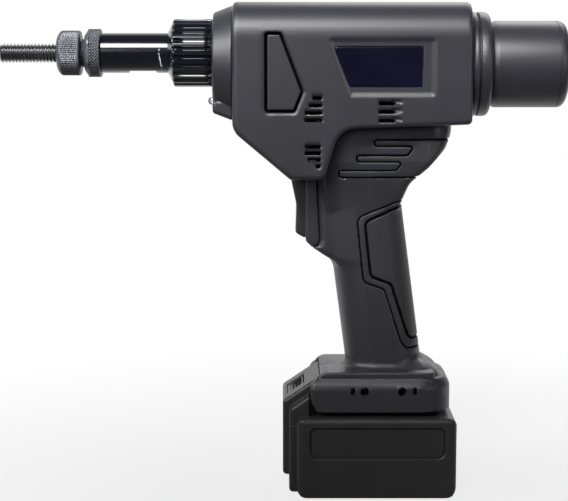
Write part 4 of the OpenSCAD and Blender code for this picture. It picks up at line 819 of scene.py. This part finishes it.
def tub_skin(x, y, z):
    a = np.abs(y)
    tub = np.maximum(pack_form(x, y, z) + 0.03, z - TUB_TOP)
    face = box2(x, z, -41.8, 42.8, 26.7, 46.1, 4.5)
    label = [np.maximum((face - 0.7 + 0.8 * (PACK_HALF - a)) / 1.28, 35.8 - a),
             np.maximum(face, 35.4 - a)]
    return carve(tub, pack_cuts(x, y, z) + label)


def cover_skin(x, y, z):
    return carve(np.maximum(pack_form(x, y, z), COVER_LOW - z), pack_cuts(x, y, z))


def label_skin(x, y, z):
    return np.maximum(rmax(box2(x, z, -41.0, 42.0, 27.5, 45.3, 3.7), -y - 36.3, 0.3), 35.45 + y)


def button_skin(x, y, z):
    """Button with a thumb pocket, ribs in it, and a hole for its spring."""
    a, below = np.abs(y), -above_slope(x, z)
    along = (x + 56) * SLOPE[0] + (z - 62.7) * SLOPE[1]
    depth = 0.5 + 0.6 * (along - 3)
    pocket = meet(slab(along, 3, 10.8), a - 10, below - depth)
    ribs = meet(np.abs(along % RIB_PITCH - RIB_PITCH / 2) - 0.4,
                below - np.maximum(depth, 0) - 1.2, a - 10, slab(along, 1, 8))
    hole = np.maximum(np.hypot(x + 50.75, y) - 4, z - 56.5)
    return carve(rmax(poly(BUTTON, x, z), a - 12, 0.8), [pocket, ribs, hole])


solid("skin_battery_tub", tub_skin, (-60.2, -38.2, -1.2), (51.8, 38.2, 48.2), 0.65,
      M["battery_plastic"], ["battery_tub"], body="battery", keep=0.3)
solid("skin_battery_cover", cover_skin, (-60.2, -38.2, 45.8), (51.8, 38.2, 79.2), 0.65,
      M["battery_plastic"], ["battery_cover"], body="battery", keep=0.3)
solid("skin_pack_labels", label_skin, (-43, -37.4, 25.5), (44, -34.6, 47.2), 0.4,
      M["battery_plastic"], ["pack_labels"], body="battery", twin=True)
solid("skin_release_button", button_skin, (-57.2, -13.2, 47.2), (-44.3, 13.2, 71.2), 0.4,
      M["battery_plastic"], ["release_button"], body="latch")


# Springs: copies of the solids, each carried by a body
def spring(name, node, body):
    obj = bpy.data.objects.new(name, frame["nodes"][node].data.copy())
    bpy.context.scene.collection.objects.link(obj)
    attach(obj, body)
    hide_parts(node)
    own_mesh(obj)


spring("coil_trigger_spring", "trigger_spring",
       "frame")
spring("coil_latch_spring", "latch_spring",
       "battery")

# Stage
DARK_FRONT = 0.06  # brightness of the room in front of the tool, as seen in its gloss
WHITE = (1, 1, 1, 1)


def math_node(nodes, links, kind, first, second):
    node = nodes.new("ShaderNodeMath")
    node.operation = kind
    for socket, value in zip(node.inputs, (first, second)):
        links.new(value, socket)
    return node.outputs[0]


def map_range(nodes, links, value, source, target, kind="LINEAR"):
    node = nodes.new("ShaderNodeMapRange")
    node.interpolation_type = kind
    node.inputs["From Min"].default_value, node.inputs["From Max"].default_value = source
    node.inputs["To Min"].default_value, node.inputs["To Max"].default_value = target
    links.new(value, node.inputs["Value"])
    return node.outputs["Result"]


def seen_rays(nodes, links, coord, front):
    """Share of the white background: 1 for camera rays; off gloss and through glass it falls
    toward the dark front."""
    rays = nodes.new("ShaderNodeLightPath")
    where = nodes.new("ShaderNodeTexCoord")
    axes = nodes.new("ShaderNodeSeparateXYZ")
    links.new(where.outputs[coord], axes.inputs["Vector"])
    room = map_range(nodes, links, axes.outputs["Y"], front, (DARK_FRONT, 1.0), "SMOOTHSTEP")
    soft = math_node(nodes, links, "MAXIMUM", rays.outputs["Is Glossy Ray"],
                     rays.outputs["Is Transmission Ray"])
    soft = math_node(nodes, links, "MULTIPLY", soft, room)
    return math_node(nodes, links, "MAXIMUM", rays.outputs["Is Camera Ray"], soft)


def mix_into(nodes, links, output, share, first, second):
    mix = nodes.new("ShaderNodeMixShader")
    for socket, value in zip(mix.inputs, (share, first, second)):
        links.new(value, socket)
    links.new(mix.outputs["Shader"], nodes[output].inputs["Surface"])


bpy.ops.mesh.primitive_plane_add(size=14, location=(0, 0, -0.0004))
floor = bpy.context.object
floor.name = "floor"
pale = bpy.data.materials.new("pale_floor")
pale.use_nodes = True
nodes, links = pale.node_tree.nodes, pale.node_tree.links
shade = nodes["Principled BSDF"]
shade.inputs["Base Color"].default_value = (0.5, 0.5, 0.5, 1)
shade.inputs["Roughness"].default_value = 0.9
shade.inputs["Specular IOR Level"].default_value = 0.0
glow = nodes.new("ShaderNodeEmission")
glow.inputs["Strength"].default_value = 1.0
where = nodes.new("ShaderNodeTexCoord")
reach = nodes.new("ShaderNodeVectorMath")
reach.operation = "LENGTH"
links.new(where.outputs["Object"], reach.inputs[0])
fade = map_range(nodes, links, reach.outputs["Value"], (0.12, 0.45), (0.8, 1.0))
share = math_node(nodes, links, "MULTIPLY", seen_rays(nodes, links, "Object", (-0.05, 0.25)), fade)
mix_into(nodes, links, "Material Output", share, shade.outputs["BSDF"], glow.outputs["Emission"])
floor.data.materials.append(pale)

world = bpy.data.worlds.new("studio")
bpy.context.scene.world = world
world.use_nodes = True
nodes, links = world.node_tree.nodes, world.node_tree.links
dim, bright = nodes["Background"], nodes.new("ShaderNodeBackground")
for background, strength in ((dim, 0.03), (bright, 1.0)):
    background.inputs["Color"].default_value = WHITE
    background.inputs["Strength"].default_value = strength
share = seen_rays(nodes, links, "Generated", (0.35, 0.9))
mix_into(nodes, links, "World Output", share, dim.outputs["Background"],
         bright.outputs["Background"])


# Light and camera
def aim(obj, direction):
    obj.rotation_euler = direction.to_track_quat("-Z", "Y").to_euler()


def lamp(name, place, target, size, power, spread):
    """Area lamp: places and size in metres, power in watts, spread in degrees."""
    data = bpy.data.lights.new(name, "AREA")
    data.shape, data.size, data.size_y, data.energy = "RECTANGLE", size[0], size[1], power
    data.spread = math.radians(spread)
    obj = bpy.data.objects.new(name, data)
    obj.location = place
    obj.visible_camera = False
    aim(obj, Vector(target) - Vector(place))
    bpy.context.scene.collection.objects.link(obj)


lamp("top_box", (-0.19, -0.32, 0.62), (-0.09, 0, 0.31), (1.1, 0.24), 1.08, 34)
lamp("key_box", (-0.45, -1.0, 0.6), (-0.05, 0, 0.29), (0.5, 0.5), 0.2, 32)
lamp("left_box", (-0.62, -0.3, 0.62), (-0.1, 0, 0.28), (0.35, 0.35), 0.38, 50)
lamp("fill_box", (0.8, -0.8, 0.5), (0, 0, 0.25), (0.5, 0.6), 0.17, 45)
lamp("back_box", (0.25, 0.8, 0.95), (0, 0, 0.2), (0.7, 0.5), 0.45, 60)

SENSOR, FOCAL_PX, WIDTH_PX = 36, 1562.5, 568
TARGET, DISTANCE, RISE = Vector((-0.05824, 0, 0.1536)), 1.0, math.radians(8)
camera = bpy.data.cameras.new("camera")
camera.sensor_width = SENSOR
camera.lens = FOCAL_PX * SENSOR / WIDTH_PX
camera.clip_start, camera.clip_end = 0.01, 50
eye = bpy.data.objects.new("camera", camera)
bpy.context.scene.collection.objects.link(eye)
back = Vector((0, -math.cos(RISE), math.sin(RISE)))
eye.location = TARGET + back * DISTANCE
aim(eye, -back)
bpy.context.scene.camera = eye
bpy.context.scene.view_settings.view_transform = "Standard"
